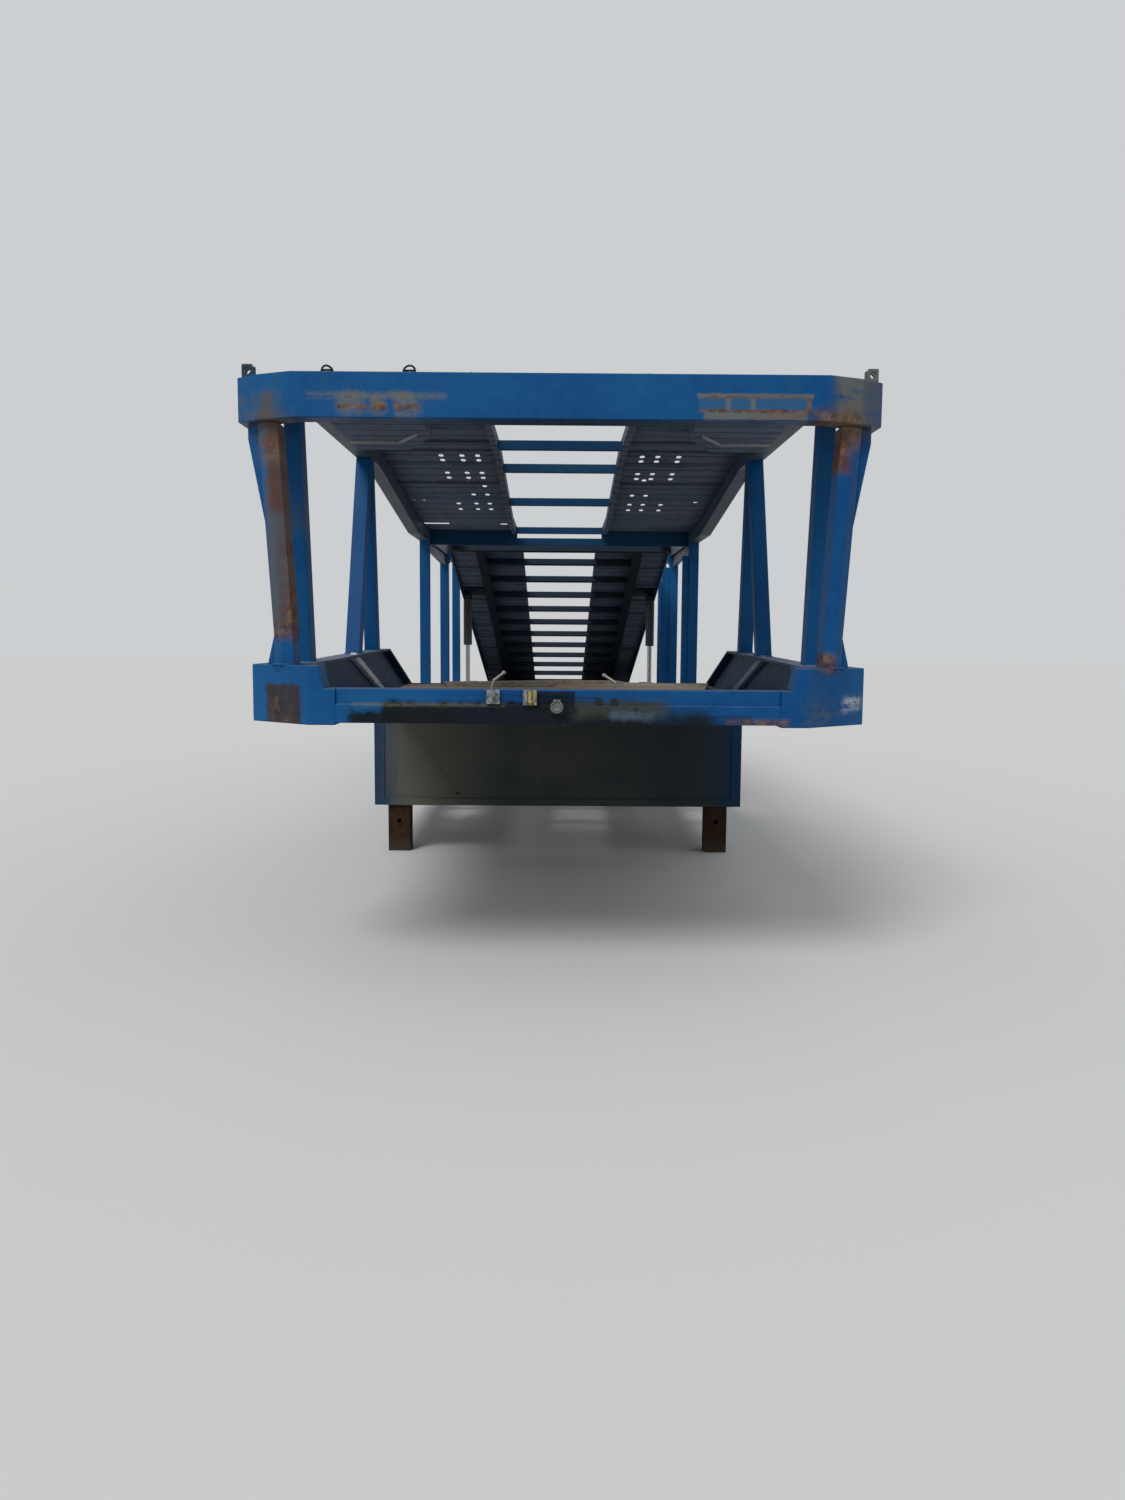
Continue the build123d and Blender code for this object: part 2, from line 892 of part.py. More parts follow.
def wheel_rims(side, s):
    body = rim_pair(s)
    mid = outer_tyre_half - twin_spacing / 2
    for number in range(hand_holes):
        angle = 2 * pi * number / hand_holes
        ds = hand_hole_circle * cos(angle)
        dz = hand_hole_circle * sin(angle)
        body = body - cross_rod(s + ds, axle_high + dz, hand_hole_radius, mid - disc_thick * 2, mid + disc_thick * 2)
    return [body if side > 0 else mirror(body, about=Plane.YZ)]


def axle(s):
    """Axle tube with turned-down ends and the two brake chambers bolted ahead of it."""
    tube = cross_rod(s, axle_high, axle_radius, -axle_shoulder_half, axle_shoulder_half)
    pieces = [tube, cross_rod(s, axle_high, spindle_radius, -spindle_half, spindle_half)]
    centre = axle_high + chamber_rise
    x0 = chamber_half - chamber_bracket_width / 2
    bracket = block(
        x0,
        x0 + chamber_bracket_width,
        s - chamber_gap,
        s - chamber_gap + chamber_bracket_reach,
        axle_high,
        centre + chamber_rise,
    )
    can = chamfer(Cylinder(chamber_radius, chamber_length).edges().filter_by(GeomType.CIRCLE), chamber_bevel)
    chamber = Pos(chamber_half, along(s - chamber_gap - chamber_length / 2), centre) * Rot(90, 0, 0) * can
    return [fuse(pieces + both_sides(bracket) + both_sides(chamber))]


def trailing_arms():
    arms = []
    seat = axle_high + axle_radius
    for s in axle_places:
        outline = [
            (s - arm_front, seat + arm_thick),
            (s - arm_front, seat),
            (s + arm_knee_front, seat),
            (s + arm_knee_back, seat - spring_seat_drop),
            (s + arm_back, seat - spring_seat_drop),
            (s + arm_back, seat - spring_seat_drop + arm_thick),
            (s + arm_knee_back + arm_knee_run, seat - spring_seat_drop + arm_thick),
            (s + arm_knee_front + arm_knee_run, seat + arm_thick),
        ]
        arms += both_sides(side_shape(outline, beam_half - arm_width / 2, beam_half + arm_width / 2))
    return arms


def hangers():
    pieces = []
    low = axle_high + axle_radius + arm_thick
    for s in axle_places:
        outline = [
            (s - arm_front - hanger_length / 2, beam_axle_low),
            (s - arm_front + hanger_length / 2, beam_axle_low),
            (s - arm_front + hanger_foot_length, low),
            (s - arm_front, low),
        ]
        pieces += both_sides(side_shape(outline, beam_half - arm_width / 2, beam_half + arm_width / 2))
    return pieces


def air_springs():
    pieces = []
    low = axle_high + axle_radius - spring_seat_drop + arm_thick
    profile = [
        (0, low),
        (spring_radius - spring_piston_inset, low),
        (spring_radius - spring_piston_inset, low + spring_piston_height),
        (spring_radius, low + spring_roll_height),
        (spring_radius, beam_axle_low - spring_top_drop),
        (spring_radius - spring_top_inset, beam_axle_low),
        (0, beam_axle_low),
    ]
    face = make_face(Polyline(*profile, close=True))
    bellows = revolve(Plane.XZ * face, axis=Axis.Z)
    for s in axle_places:
        pieces += both_sides(Pos(beam_half, along(s + arm_back - spring_radius), 0) * bellows)
    return pieces


def air_tank():
    """Reservoir across the trailer, hung by two saddles from the crossmember behind the first axle."""
    places = [place for place in cross_places() if place > axle_places[0] + arm_back]
    s = places[0] + cross_width / 2
    seat = axle_deck_high - beam_top_drop - plate - cross_depth
    centre = seat - tank_gap - tank_radius
    can = fillet(Cylinder(tank_radius, tank_half * 2).edges().filter_by(GeomType.CIRCLE), tank_round)
    shell = Pos(0, along(s), centre) * Rot(0, 90, 0) * can
    saddle = block(
        saddle_half - saddle_width / 2,
        saddle_half + saddle_width / 2,
        s - cross_width / 2,
        s + cross_width / 2,
        centre,
        seat,
    )
    return [fuse([shell] + both_sides(saddle))]


def front_posts():
    """Leaning box posts with one bevelled corner, flared by a plate at the foot and at the head."""
    def section(edges, z):
        inner, outer = edges
        corners = [
            (inner, front_post_s),
            (outer - front_post_bevel, front_post_s),
            (outer, front_post_s + front_post_bevel),
            (outer, front_post_s + front_post_depth),
            (inner, front_post_s + front_post_depth),
        ]
        return Pos(0, 0, z) * make_face(Polyline(*[(x, along(s)) for x, s in corners], close=True))

    lower = loft([section(front_post_foot, block_high), section(front_post_foot, front_post_knee_high)], ruled=True)
    upper = loft([section(front_post_foot, front_post_knee_high), section(front_post_head, top_low)], ruled=True)
    gussets = [front_shape(outline, gusset_s, gusset_s + gusset_thick) for outline in (foot_gusset, head_gusset)]
    return both_sides(fuse([lower, upper] + gussets))


def strut(top_s, foot_s, depth, inner, outer):
    """Slanting post from the neck's flange up to the rail."""
    corners = [
        (foot_s, height_on(neck_line, foot_s)),
        (foot_s + depth, height_on(neck_line, foot_s + depth)),
        (top_s + depth, height_on(rail_line, top_s + depth)),
        (top_s, height_on(rail_line, top_s)),
    ]
    return side_shape(corners, inner, outer)


def second_posts():
    inner = second_post_half - second_post_width
    return both_sides(strut(second_post_top_s, second_post_foot_s, second_post_depth, inner, second_post_half))


def a_frames():
    front = strut(a_frame_apex_s, a_frame_front_foot_s, strut_depth, post_inner, post_half)
    rear_top = a_frame_apex_s + a_frame_apex_length - strut_depth
    rear = strut(rear_top, a_frame_rear_foot_s, strut_depth, post_inner, post_half)
    return both_sides(front + rear)


def side_posts():
    right = []
    for s, depth in side_post_table:
        corners = [
            (s, height_on(deck_line, s) + kerb),
            (s + depth, height_on(deck_line, s + depth) + kerb),
            (s + depth, rear_rail_low),
            (s, rear_rail_low),
        ]
        right.append(side_shape(corners, post_inner, post_half))
    s, depth = side_post_table[knee_post]
    knee = [
        (post_inner, knee_low),
        (post_inner, knee_high),
        (knee_half, knee_high),
        (knee_half, knee_high - knee_lip),
    ]
    right[knee_post] = right[knee_post] + front_shape(knee, s, s + depth)
    left = [mirror(post, about=Plane.YZ) for post in right]
    for number, inner in cover_table:
        s, depth = side_post_table[number]
        low = height_on(deck_line, s) + kerb
        cover = block(inner, post_inner, s + cover_inset, s + depth - cover_inset, low, cover_high)
        right[number] = right[number] + cover
    return right + left


def top_beam_plan():
    """Plan outline of the front upper beam, from the right-hand middle round to the left-hand one."""
    right = [
        (top_flat_half, 0),
        (top_bend_half, top_bend_s),
        (top_half, top_side_s),
        (top_half, top_return_s),
        (top_wall_half, top_return_s),
        (top_wall_half, top_inner_side_s),
        (top_inner_bend_half, top_inner_bend_s),
        (top_inner_flat_half, top_depth),
    ]
    return right + [(-x, s) for x, s in reversed(right)]


def top_beam():
    body = plan_shape(top_beam_plan(), top_low, top_high)
    lugs = []
    outer = top_half - lug_edge_gap
    for shift in (0, lug_thick + lug_gap):
        s = top_side_s + lug_inset + shift
        tab = block(outer - lug_width, outer, s, s + lug_thick, top_high, top_high + lug_height)
        hole = Pos(outer - lug_width / 2, along(s), top_high + lug_hole_rise) * Rot(90, 0, 0)
        lugs += both_sides(tab - hole * Cylinder(lug_hole_radius, lug_thick * 4))
    loops = []
    for x, width in loop_table:
        hoop = block(x - width / 2, x + width / 2, loop_s, loop_s + loop_wire, top_high, top_high + loop_height)
        inner = width / 2 - loop_wire
        eye = block(x - inner, x + inner, loop_s, loop_s + loop_wire, top_high, top_high + loop_height - loop_wire)
        loops.append(hoop - eye)
    return [fuse([body] + lugs + loops)]


def upper_rails():
    """Side rails whose nose tapers into the front beam, deepened between the first two side posts."""
    raised = [(s, z + rail_height) for s, z in rail_line]
    raised[0] = (top_depth, top_high)
    rail = side_shape(raised + list(reversed(rail_line)), post_inner, post_half)
    rail = rail - plan_shape(top_beam_plan(), top_low, top_high + rail_height)
    (front_s, front_depth), (rear_s, _) = side_post_table[:2]
    haunch = [
        (front_s + front_depth, rear_rail_low),
        (rear_s, rear_rail_low),
        (rear_s, haunch_rear_high),
        (front_s + front_depth, haunch_front_high),
    ]
    rail = rail + side_shape(haunch, haunch_inner, haunch_inner + haunch_width)
    return both_sides(rail)


def upper_runways():
    """Front upper deck: two plates with channel-shaped inner lips, shallow ribs and punched lashing slots."""
    under = [(s, z - upper_plate) for s, z in upper_line]
    skin = side_shape(band(upper_line, upper_plate, 0), upper_gap_half, post_inner)
    lip_outline = band(under, runway_lip_drop, upper_plate + runway_lip_rise)
    lip = side_shape(lip_outline, upper_gap_half, upper_gap_half + runway_lip)
    foot_line = [(s, z - runway_lip_drop) for s, z in under]
    foot = side_shape(band(foot_line, 0, runway_lip), upper_gap_half + runway_lip, upper_gap_half + runway_foot_width)
    ribs = []
    middles = [(a + b) / 2 for a, b in zip(rung_table_s, rung_table_s[1:])]
    for place in list(rung_table_s) + middles:
        z0 = height_on(under, place)
        z1 = height_on(under, place + rib_width)
        corners = [
            (place, z0),
            (place + rib_width, z1),
            (place + rib_width - rib_bevel, z1 - rib_depth),
            (place + rib_bevel, z0 - rib_depth),
        ]
        ribs.append(side_shape(corners, upper_gap_half, post_inner))
    above = under[:3] + [(rail_drop_s, top_high + rail_height * 2), (top_depth, top_high + rail_height * 2)]
    pan = plan_shape(pan_plan, pan_low, rail_low + rail_height) - side_shape(above, 0, block_half)
    right = fuse([skin, lip, foot, pan] + ribs) - plan_shape(top_beam_plan(), top_low, top_high + rail_height)
    left = mirror(right, about=Plane.YZ)
    places = [(side * x, s) for side in (1, -1) for x in deck_hole_columns for s in deck_hole_rows]
    punch = extrude(SlotOverall(deck_hole_length, deck_hole_radius * 2, rotation=90), rail_height / 2, both=True)
    for x, s in places + list(deck_hole_extra):
        hole = Pos(x, along(s), height_on(upper_line, s)) * punch
        if x > 0:
            right = right - hole
        else:
            left = left - hole
    for x0, x1, s0, s1 in deck_slot_table:
        left = left - block(x0, x1, s0, s1, rear_rail_low, rail_low + rail_height)
    return [right, left]


def upper_rungs():
    bars = []
    for s in rung_table_s:
        z = height_on(upper_line, s + rung_size / 2) - upper_plate
        bars.append(block(-upper_gap_half, upper_gap_half, s, s + rung_size, z - rung_size, z))
    return bars


def hinge_brackets():
    """Waisted cross beam behind the front deck with the ears and pins that carry the platform."""
    start = upper_runway_end_s
    back = start + hinge_beam_depth
    beam_top = rear_rail_low + rail_height
    right = [
        (0, hinge_beam_low),
        (post_inner, hinge_beam_low),
        (post_inner, beam_top),
        (upper_gap_half, beam_top),
        (upper_gap_half, hinge_beam_waist_high),
    ]
    waisted = right + [(-x, z) for x, z in reversed(right[1:])]
    pieces = [front_shape(waisted, start, back)]
    for inner in (eye_half - ear_gap - ear_thick, eye_half + eye_width + ear_gap):
        outline = [
            (back, rear_rail_low),
            (hinge_s, hinge_high - pin_eye_radius),
            (hinge_s + ear_nose, hinge_high - ear_nose),
            (hinge_s + ear_nose, hinge_high + ear_rise),
            (back, rear_rail_low + rail_height),
        ]
        pieces += both_sides(side_shape(outline, inner, inner + ear_thick))
    low = eye_half - ear_gap - ear_thick - pin_overhang
    high = eye_half + eye_width + ear_gap + ear_thick + pin_overhang
    pieces += both_sides(cross_rod(hinge_s, hinge_high, pin_radius, low, high))
    return [fuse(pieces)]


def lean(shape):
    """Turns a platform piece from level down to its parked slope about the hinge."""
    axis = Axis((0, along(hinge_s), hinge_high), (1, 0, 0))
    return shape.rotate(axis, -degrees(tilt))


def platform_frame():
    start = hinge_s + platform_start
    end = hinge_s + platform_length
    deep = hinge_high - platform_rail_depth
    rail_outline = [
        (start, hinge_high),
        (start, deep),
        (end - platform_rail_taper, deep),
        (end, hinge_high - platform_rail_end_depth),
        (end, hinge_high),
    ]
    rail_inner = platform_rail_half - platform_rail_width
    pieces = both_sides(side_shape(rail_outline, rail_inner, platform_rail_half))
    pitch = (platform_length - platform_start - rung_size) / (platform_rungs - 1)
    for number in range(platform_rungs):
        s = start + number * pitch
        thick = rung_size if number < platform_rungs - 1 else platform_rail_end_depth
        pieces.append(block(-rail_inner, rail_inner, s, s + rung_size, hinge_high - thick, hinge_high))
    head = block(-platform_half, platform_half, start, start + rung_size, hinge_high - platform_rail_depth, hinge_high)
    pieces.append(head)
    for side in (1, -1):
        x0 = side * (eye_half + eye_width / 2) - eye_width / 2
        arm = block(x0, x0 + eye_width, hinge_s, start, hinge_high - pin_eye_radius, hinge_high)
        eye = cross_rod(hinge_s, hinge_high, pin_eye_radius, x0, x0 + eye_width)
        bore = cross_rod(hinge_s, hinge_high, pin_radius + running_gap, x0 - 1, x0 + eye_width + 1)
        pieces.append(arm + eye - bore)
    frame = fuse(pieces)
    lug_s = hinge_s + cylinder_place
    pin_z = hinge_high - cylinder_drop
    eye_edge = cylinder_eye_width / 2 + cylinder_ear_gap
    lugs = []
    for inner in (cylinder_half - eye_edge - cylinder_ear_thick, cylinder_half + eye_edge):
        outline = [
            (lug_s - cylinder_ear_half, hinge_high),
            (lug_s - cylinder_ear_tip_half, pin_z - cylinder_ear_tip),
            (lug_s + cylinder_ear_tip_half, pin_z - cylinder_ear_tip),
            (lug_s + cylinder_ear_half, hinge_high),
        ]
        lugs += both_sides(side_shape(outline, inner, inner + cylinder_ear_thick))
    low = hinge_high - cylinder_tie_depth
    tie = block(platform_rail_half, platform_half, lug_s - cylinder_tie_half, lug_s + cylinder_tie_half, low, hinge_high)
    gap = block(
        cylinder_half - eye_edge,
        cylinder_half + eye_edge,
        lug_s - cylinder_ear_half,
        lug_s + cylinder_ear_half,
        low,
        hinge_high - cylinder_tie_skin,
    )
    pin_edge = eye_edge + cylinder_ear_thick + cylinder_pin_overhang
    pin = cross_rod(lug_s, pin_z, cylinder_pin_radius, cylinder_half - pin_edge, cylinder_half + pin_edge)
    frame = fuse([frame] + both_sides(tie - gap) + lugs + both_sides(pin))
    return [lean(frame)]


def platform_runways():
    """Platform plates with folded lips, raised outer edges and shallow ribs between the rungs."""
    start = hinge_s + platform_start
    end = hinge_s + platform_length
    rail_inner = platform_rail_half - platform_rail_width
    skin = block(platform_gap_half, platform_half, start, end, hinge_high, hinge_high + plate)
    edge = block(
        platform_half,
        platform_half + platform_lip,
        start,
        end,
        hinge_high - platform_edge_drop,
        hinge_high + platform_edge_height,
    )
    lip = block(
        platform_gap_half - platform_lip,
        platform_gap_half,
        start + rung_size + platform_lip_gap,
        end,
        hinge_high,
        hinge_high + platform_lip_height,
    )
    pieces = [skin, edge, lip]
    pitch = (platform_length - platform_start - rung_size) / (platform_rungs - 1)
    low = hinge_high - platform_rib_depth
    for number in range(platform_rungs - 1):
        s = start + (number + 0.5) * pitch
        for x0, x1 in ((platform_gap_half, rail_inner), (platform_rail_half, platform_half)):
            pieces.append(block(x0, x1, s, s + rib_width, low, hinge_high))
    return [lean(piece) for piece in both_sides(fuse(pieces))]


def rest_point(place, drop):
    """Rest position (s, z) of a platform point that lies place behind the hinge and drop below it."""
    s = hinge_s + place * cos(tilt) - drop * sin(tilt)
    z = hinge_high - place * sin(tilt) - drop * cos(tilt)
    return s, z


def barrel(side):
    s, z = rest_point(cylinder_place, cylinder_drop)
    x = side * cylinder_half
    half = cylinder_eye_width / 2
    eye = cross_rod(s, z, cylinder_eye_radius, x - half, x + half)
    reach = half + bore_margin
    bore = cross_rod(s, z, cylinder_pin_radius + running_gap, x - reach, x + reach)
    top = z - barrel_top_drop
    body = Pos(x, along(s), top - barrel_length / 2) * Cylinder(barrel_radius, barrel_length)
    neck = Pos(x, along(s), z - barrel_top_drop / 2) * Cylinder(half, barrel_top_drop)
    hollow_length = barrel_length - barrel_cap
    hollow = Pos(x, along(s), top - barrel_length + hollow_length / 2)
    cavity = hollow * Cylinder(rod_radius + running_gap, hollow_length)
    return [eye + neck + body - bore - cavity]


def rod(side):
    s, z = rest_point(cylinder_place, cylinder_drop)
    x = side * cylinder_half
    half = cylinder_eye_width / 2
    high = z - barrel_top_drop - rod_engaged_drop
    length_all = high - foot_pin_high
    bar = Pos(x, along(s), foot_pin_high + length_all / 2) * Cylinder(rod_radius, length_all)
    eye = cross_rod(s, foot_pin_high, foot_eye_radius, x - half, x + half)
    reach = max(half, rod_radius) + bore_margin
    bore = cross_rod(s, foot_pin_high, cylinder_pin_radius + foot_pin_gap, x - reach, x + reach)
    return [bar + eye - bore]


def cylinder_feet():
    s, _ = rest_point(cylinder_place, cylinder_drop)
    base_high = deck_high + foot_base_thick
    eye_edge = cylinder_eye_width / 2 + cylinder_ear_gap
    pieces = []
    for inner in (cylinder_half - eye_edge - cylinder_ear_thick, cylinder_half + eye_edge):
        outline = [
            (s - foot_ear_half, base_high),
            (s + foot_ear_half, base_high),
            (s + cylinder_ear_tip_half, foot_pin_high + cylinder_ear_tip),
            (s - cylinder_ear_tip_half, foot_pin_high + cylinder_ear_tip),
        ]
        pieces.append(side_shape(outline, inner, inner + cylinder_ear_thick))
    pin_edge = eye_edge + cylinder_ear_thick + cylinder_pin_overhang
    pieces.append(cross_rod(s, foot_pin_high, cylinder_pin_radius, cylinder_half - pin_edge, cylinder_half + pin_edge))
    base = block(deck_outer_half, sill_inner_half, s - foot_base_half, s + foot_base_half, deck_high, base_high)
    return both_sides(fuse(pieces + [base]))


def air_couplings():
    """Coupling blocks on the front beam, each with a round head."""
    pieces = []
    for x, low, width in air_coupling_table:
        body = block(x - width / 2, x + width / 2, -air_coupling_reach, beam_step, low, beam_high)
        head = Pos(x, along(-air_coupling_reach - air_head_depth / 2), (low + beam_high) / 2) * Rot(90, 0, 0)
        pieces.append(body + head * Cylinder(air_head_radius, air_head_depth))
    return pieces


def socket():
    """Round capped electric socket with its back plate and lid hinge."""
    cap = Pos(socket_x, along(-socket_reach / 2), socket_high) * Rot(90, 0, 0) * Cylinder(socket_radius, socket_reach)
    back = block(
        socket_x - socket_plate_half,
        socket_x + socket_plate_half,
        -socket_plate_thick,
        0,
        socket_high - socket_plate_half,
        beam_step_height,
    )
    hinge = cross_rod(
        socket_hinge_radius - socket_reach,
        socket_high + socket_radius,
        socket_hinge_radius,
        socket_x - socket_hinge_half,
        socket_x + socket_hinge_half,
    )
    return [fuse([cap, back, hinge])]


fixed_nodes = (
    ("front_beam", front_beam),
    ("corner_blocks", corner_blocks),
    ("neck_sides", neck_sides),
    ("neck_crossmembers", neck_crossmembers),
    ("neck_floor", neck_floor),
    ("coupling_plate", coupling_plate),
    ("kingpin", kingpin),
    ("bulkhead", bulkhead),
    ("landing_legs", landing_legs),
    ("side_sills", side_sills),
    ("main_beams", main_beams),
    ("deck_crossmembers", deck_crossmembers),
    ("deck_runways", deck_runways),
    ("arch_covers", arch_covers),
    ("tail_beam", tail_beam),
    ("tail_lamps", tail_lamps),
    ("trailing_arms", trailing_arms),
    ("hangers", hangers),
    ("air_springs", air_springs),
    ("air_tank", air_tank),
    ("front_posts", front_posts),
    ("second_posts", second_posts),
    ("a_frames", a_frames),
    ("side_posts", side_posts),
    ("top_beam", top_beam),
    ("upper_rails", upper_rails),
    ("upper_runways", upper_runways),
    ("upper_rungs", upper_rungs),
    ("hinge_brackets", hinge_brackets),
    ("cylinder_feet", cylinder_feet),
    ("air_couplings", air_couplings),
    ("socket", socket),
    ("platform_frame", platform_frame),
    ("platform_runways", platform_runways),
)

for node, make in fixed_nodes:
    write(node, make())

for side_name, side in (("left", -1), ("right", 1)):
    write(f"barrel_{side_name}", barrel(side))
    write(f"rod_{side_name}", rod(side))
    write(f"ramp_{side_name}", ramp(side))
    for number, axle_s in enumerate(axle_places, start=1):
        write(f"wheels_{number}_{side_name}", wheel_rims(side, axle_s))
        write(f"tyres_{number}_{side_name}", twin_tyres(side, axle_s))

for number, axle_s in enumerate(axle_places, start=1):
    write(f"axle_{number}", axle(axle_s))

eye_s, eye_z = rest_point(cylinder_place, cylinder_drop)
print("hinge", along(hinge_s), hinge_high, "tilt", degrees(tilt))
print("cylinder eye", along(eye_s), eye_z, "foot", foot_pin_high)
print("kingpin", along(kingpin_s), "axles", [along(s) for s in axle_places])
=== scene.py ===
import json
import math
import random

import bmesh
import bpy
from mathutils import Matrix, Vector


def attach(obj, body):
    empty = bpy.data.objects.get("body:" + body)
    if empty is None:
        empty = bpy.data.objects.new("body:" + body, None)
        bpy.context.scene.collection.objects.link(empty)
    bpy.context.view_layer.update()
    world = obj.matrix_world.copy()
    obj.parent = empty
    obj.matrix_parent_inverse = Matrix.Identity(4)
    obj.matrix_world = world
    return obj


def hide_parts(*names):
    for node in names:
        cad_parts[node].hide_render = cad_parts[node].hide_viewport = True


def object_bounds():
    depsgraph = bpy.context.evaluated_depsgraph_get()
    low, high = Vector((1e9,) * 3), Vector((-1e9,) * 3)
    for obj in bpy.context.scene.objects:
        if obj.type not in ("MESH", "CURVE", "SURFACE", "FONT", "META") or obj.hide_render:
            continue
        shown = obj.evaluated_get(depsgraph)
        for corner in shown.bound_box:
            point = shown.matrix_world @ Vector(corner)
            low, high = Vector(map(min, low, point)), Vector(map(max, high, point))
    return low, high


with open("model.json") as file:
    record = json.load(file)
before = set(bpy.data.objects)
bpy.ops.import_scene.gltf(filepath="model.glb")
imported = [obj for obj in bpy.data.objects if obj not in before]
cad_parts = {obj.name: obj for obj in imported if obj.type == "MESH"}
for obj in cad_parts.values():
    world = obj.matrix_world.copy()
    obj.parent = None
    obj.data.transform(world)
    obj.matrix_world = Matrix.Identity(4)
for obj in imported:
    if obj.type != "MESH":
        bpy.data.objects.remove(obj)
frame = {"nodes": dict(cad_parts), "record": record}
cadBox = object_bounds()
nodes = frame["nodes"]
print("frame loaded")

# Places along the trailer are written as s, metres behind the front face; the socket stands out before it
socketReach = 0.034
trailerLength = cadBox[1].y - cadBox[0].y - socketReach
sides = (("left", -1), ("right", 1))
axles = {"places": (8.750, 10.100), "high": 0.3835}


def along(s):
    return s - (trailerLength - socketReach) / 2


# Camera of the photo: metres, degrees, focal length and picture height in pixels, sensor in millimetres
camera = {
    "distance": 4.49,
    "height": 1.4605,
    "pitch": 5.776,
    "yaw": 0.229,
    "roll": 0.4,
    "focal": 1127,
    "imageHeight": 1500,
    "sensor": 36,
    "farthest": 300,
}


def makeCamera():
    pitch, yaw, roll = (math.radians(camera[k]) for k in ("pitch", "yaw", "roll"))
    forward = Vector((math.sin(yaw) * math.cos(pitch), math.cos(yaw) * math.cos(pitch), -math.sin(pitch)))
    right = Vector((math.cos(yaw), -math.sin(yaw), 0))
    up = right.cross(forward)
    turnedRight = right * math.cos(roll) + up * math.sin(roll)
    turnedUp = up * math.cos(roll) - right * math.sin(roll)
    data = bpy.data.cameras.new("photoCamera")
    data.sensor_width = camera["sensor"]
    data.lens = camera["sensor"] * camera["focal"] / camera["imageHeight"]
    data.clip_end = camera["farthest"]
    thing = bpy.data.objects.new("photoCamera", data)
    bpy.context.scene.collection.objects.link(thing)
    turn = Matrix((turnedRight, turnedUp, -forward)).transposed().to_4x4()
    thing.matrix_world = Matrix.Translation((0, along(-camera["distance"]), camera["height"])) @ turn
    bpy.context.scene.camera = thing


makeCamera()
print("camera placed")


# A wire is one socket; sums on wires add the Math nodes
class Wire:
    def __init__(self, shader, socket):
        self.shader = shader
        self.socket = socket

    def maths(self, operation, first, second=0.0):
        return self.shader.node("ShaderNodeMath", {"operation": operation}, {0: first, 1: second})

    def __add__(self, other):
        return self.maths("ADD", self, other)

    def __radd__(self, other):
        return self.maths("ADD", other, self)

    def __sub__(self, other):
        return self.maths("SUBTRACT", self, other)

    def __rsub__(self, other):
        return self.maths("SUBTRACT", other, self)

    def __mul__(self, other):
        return self.maths("MULTIPLY", self, other)

    def __rmul__(self, other):
        return self.maths("MULTIPLY", other, self)

    def __abs__(self):
        return self.maths("ABSOLUTE", self)

    def larger(self, other):
        return self.maths("MAXIMUM", self, other)

    def root(self):
        return self.maths("SQRT", self)

    def sine(self):
        return self.maths("SINE", self)

    def turnFrom(self, other):
        return self.maths("ARCTAN2", self, other)

    def reach(self, other):
        return (self * self + other * other).root()

    def wave(self, spacing, phase=0.0):
        return (self * (2 * math.pi / spacing) + phase).sine()


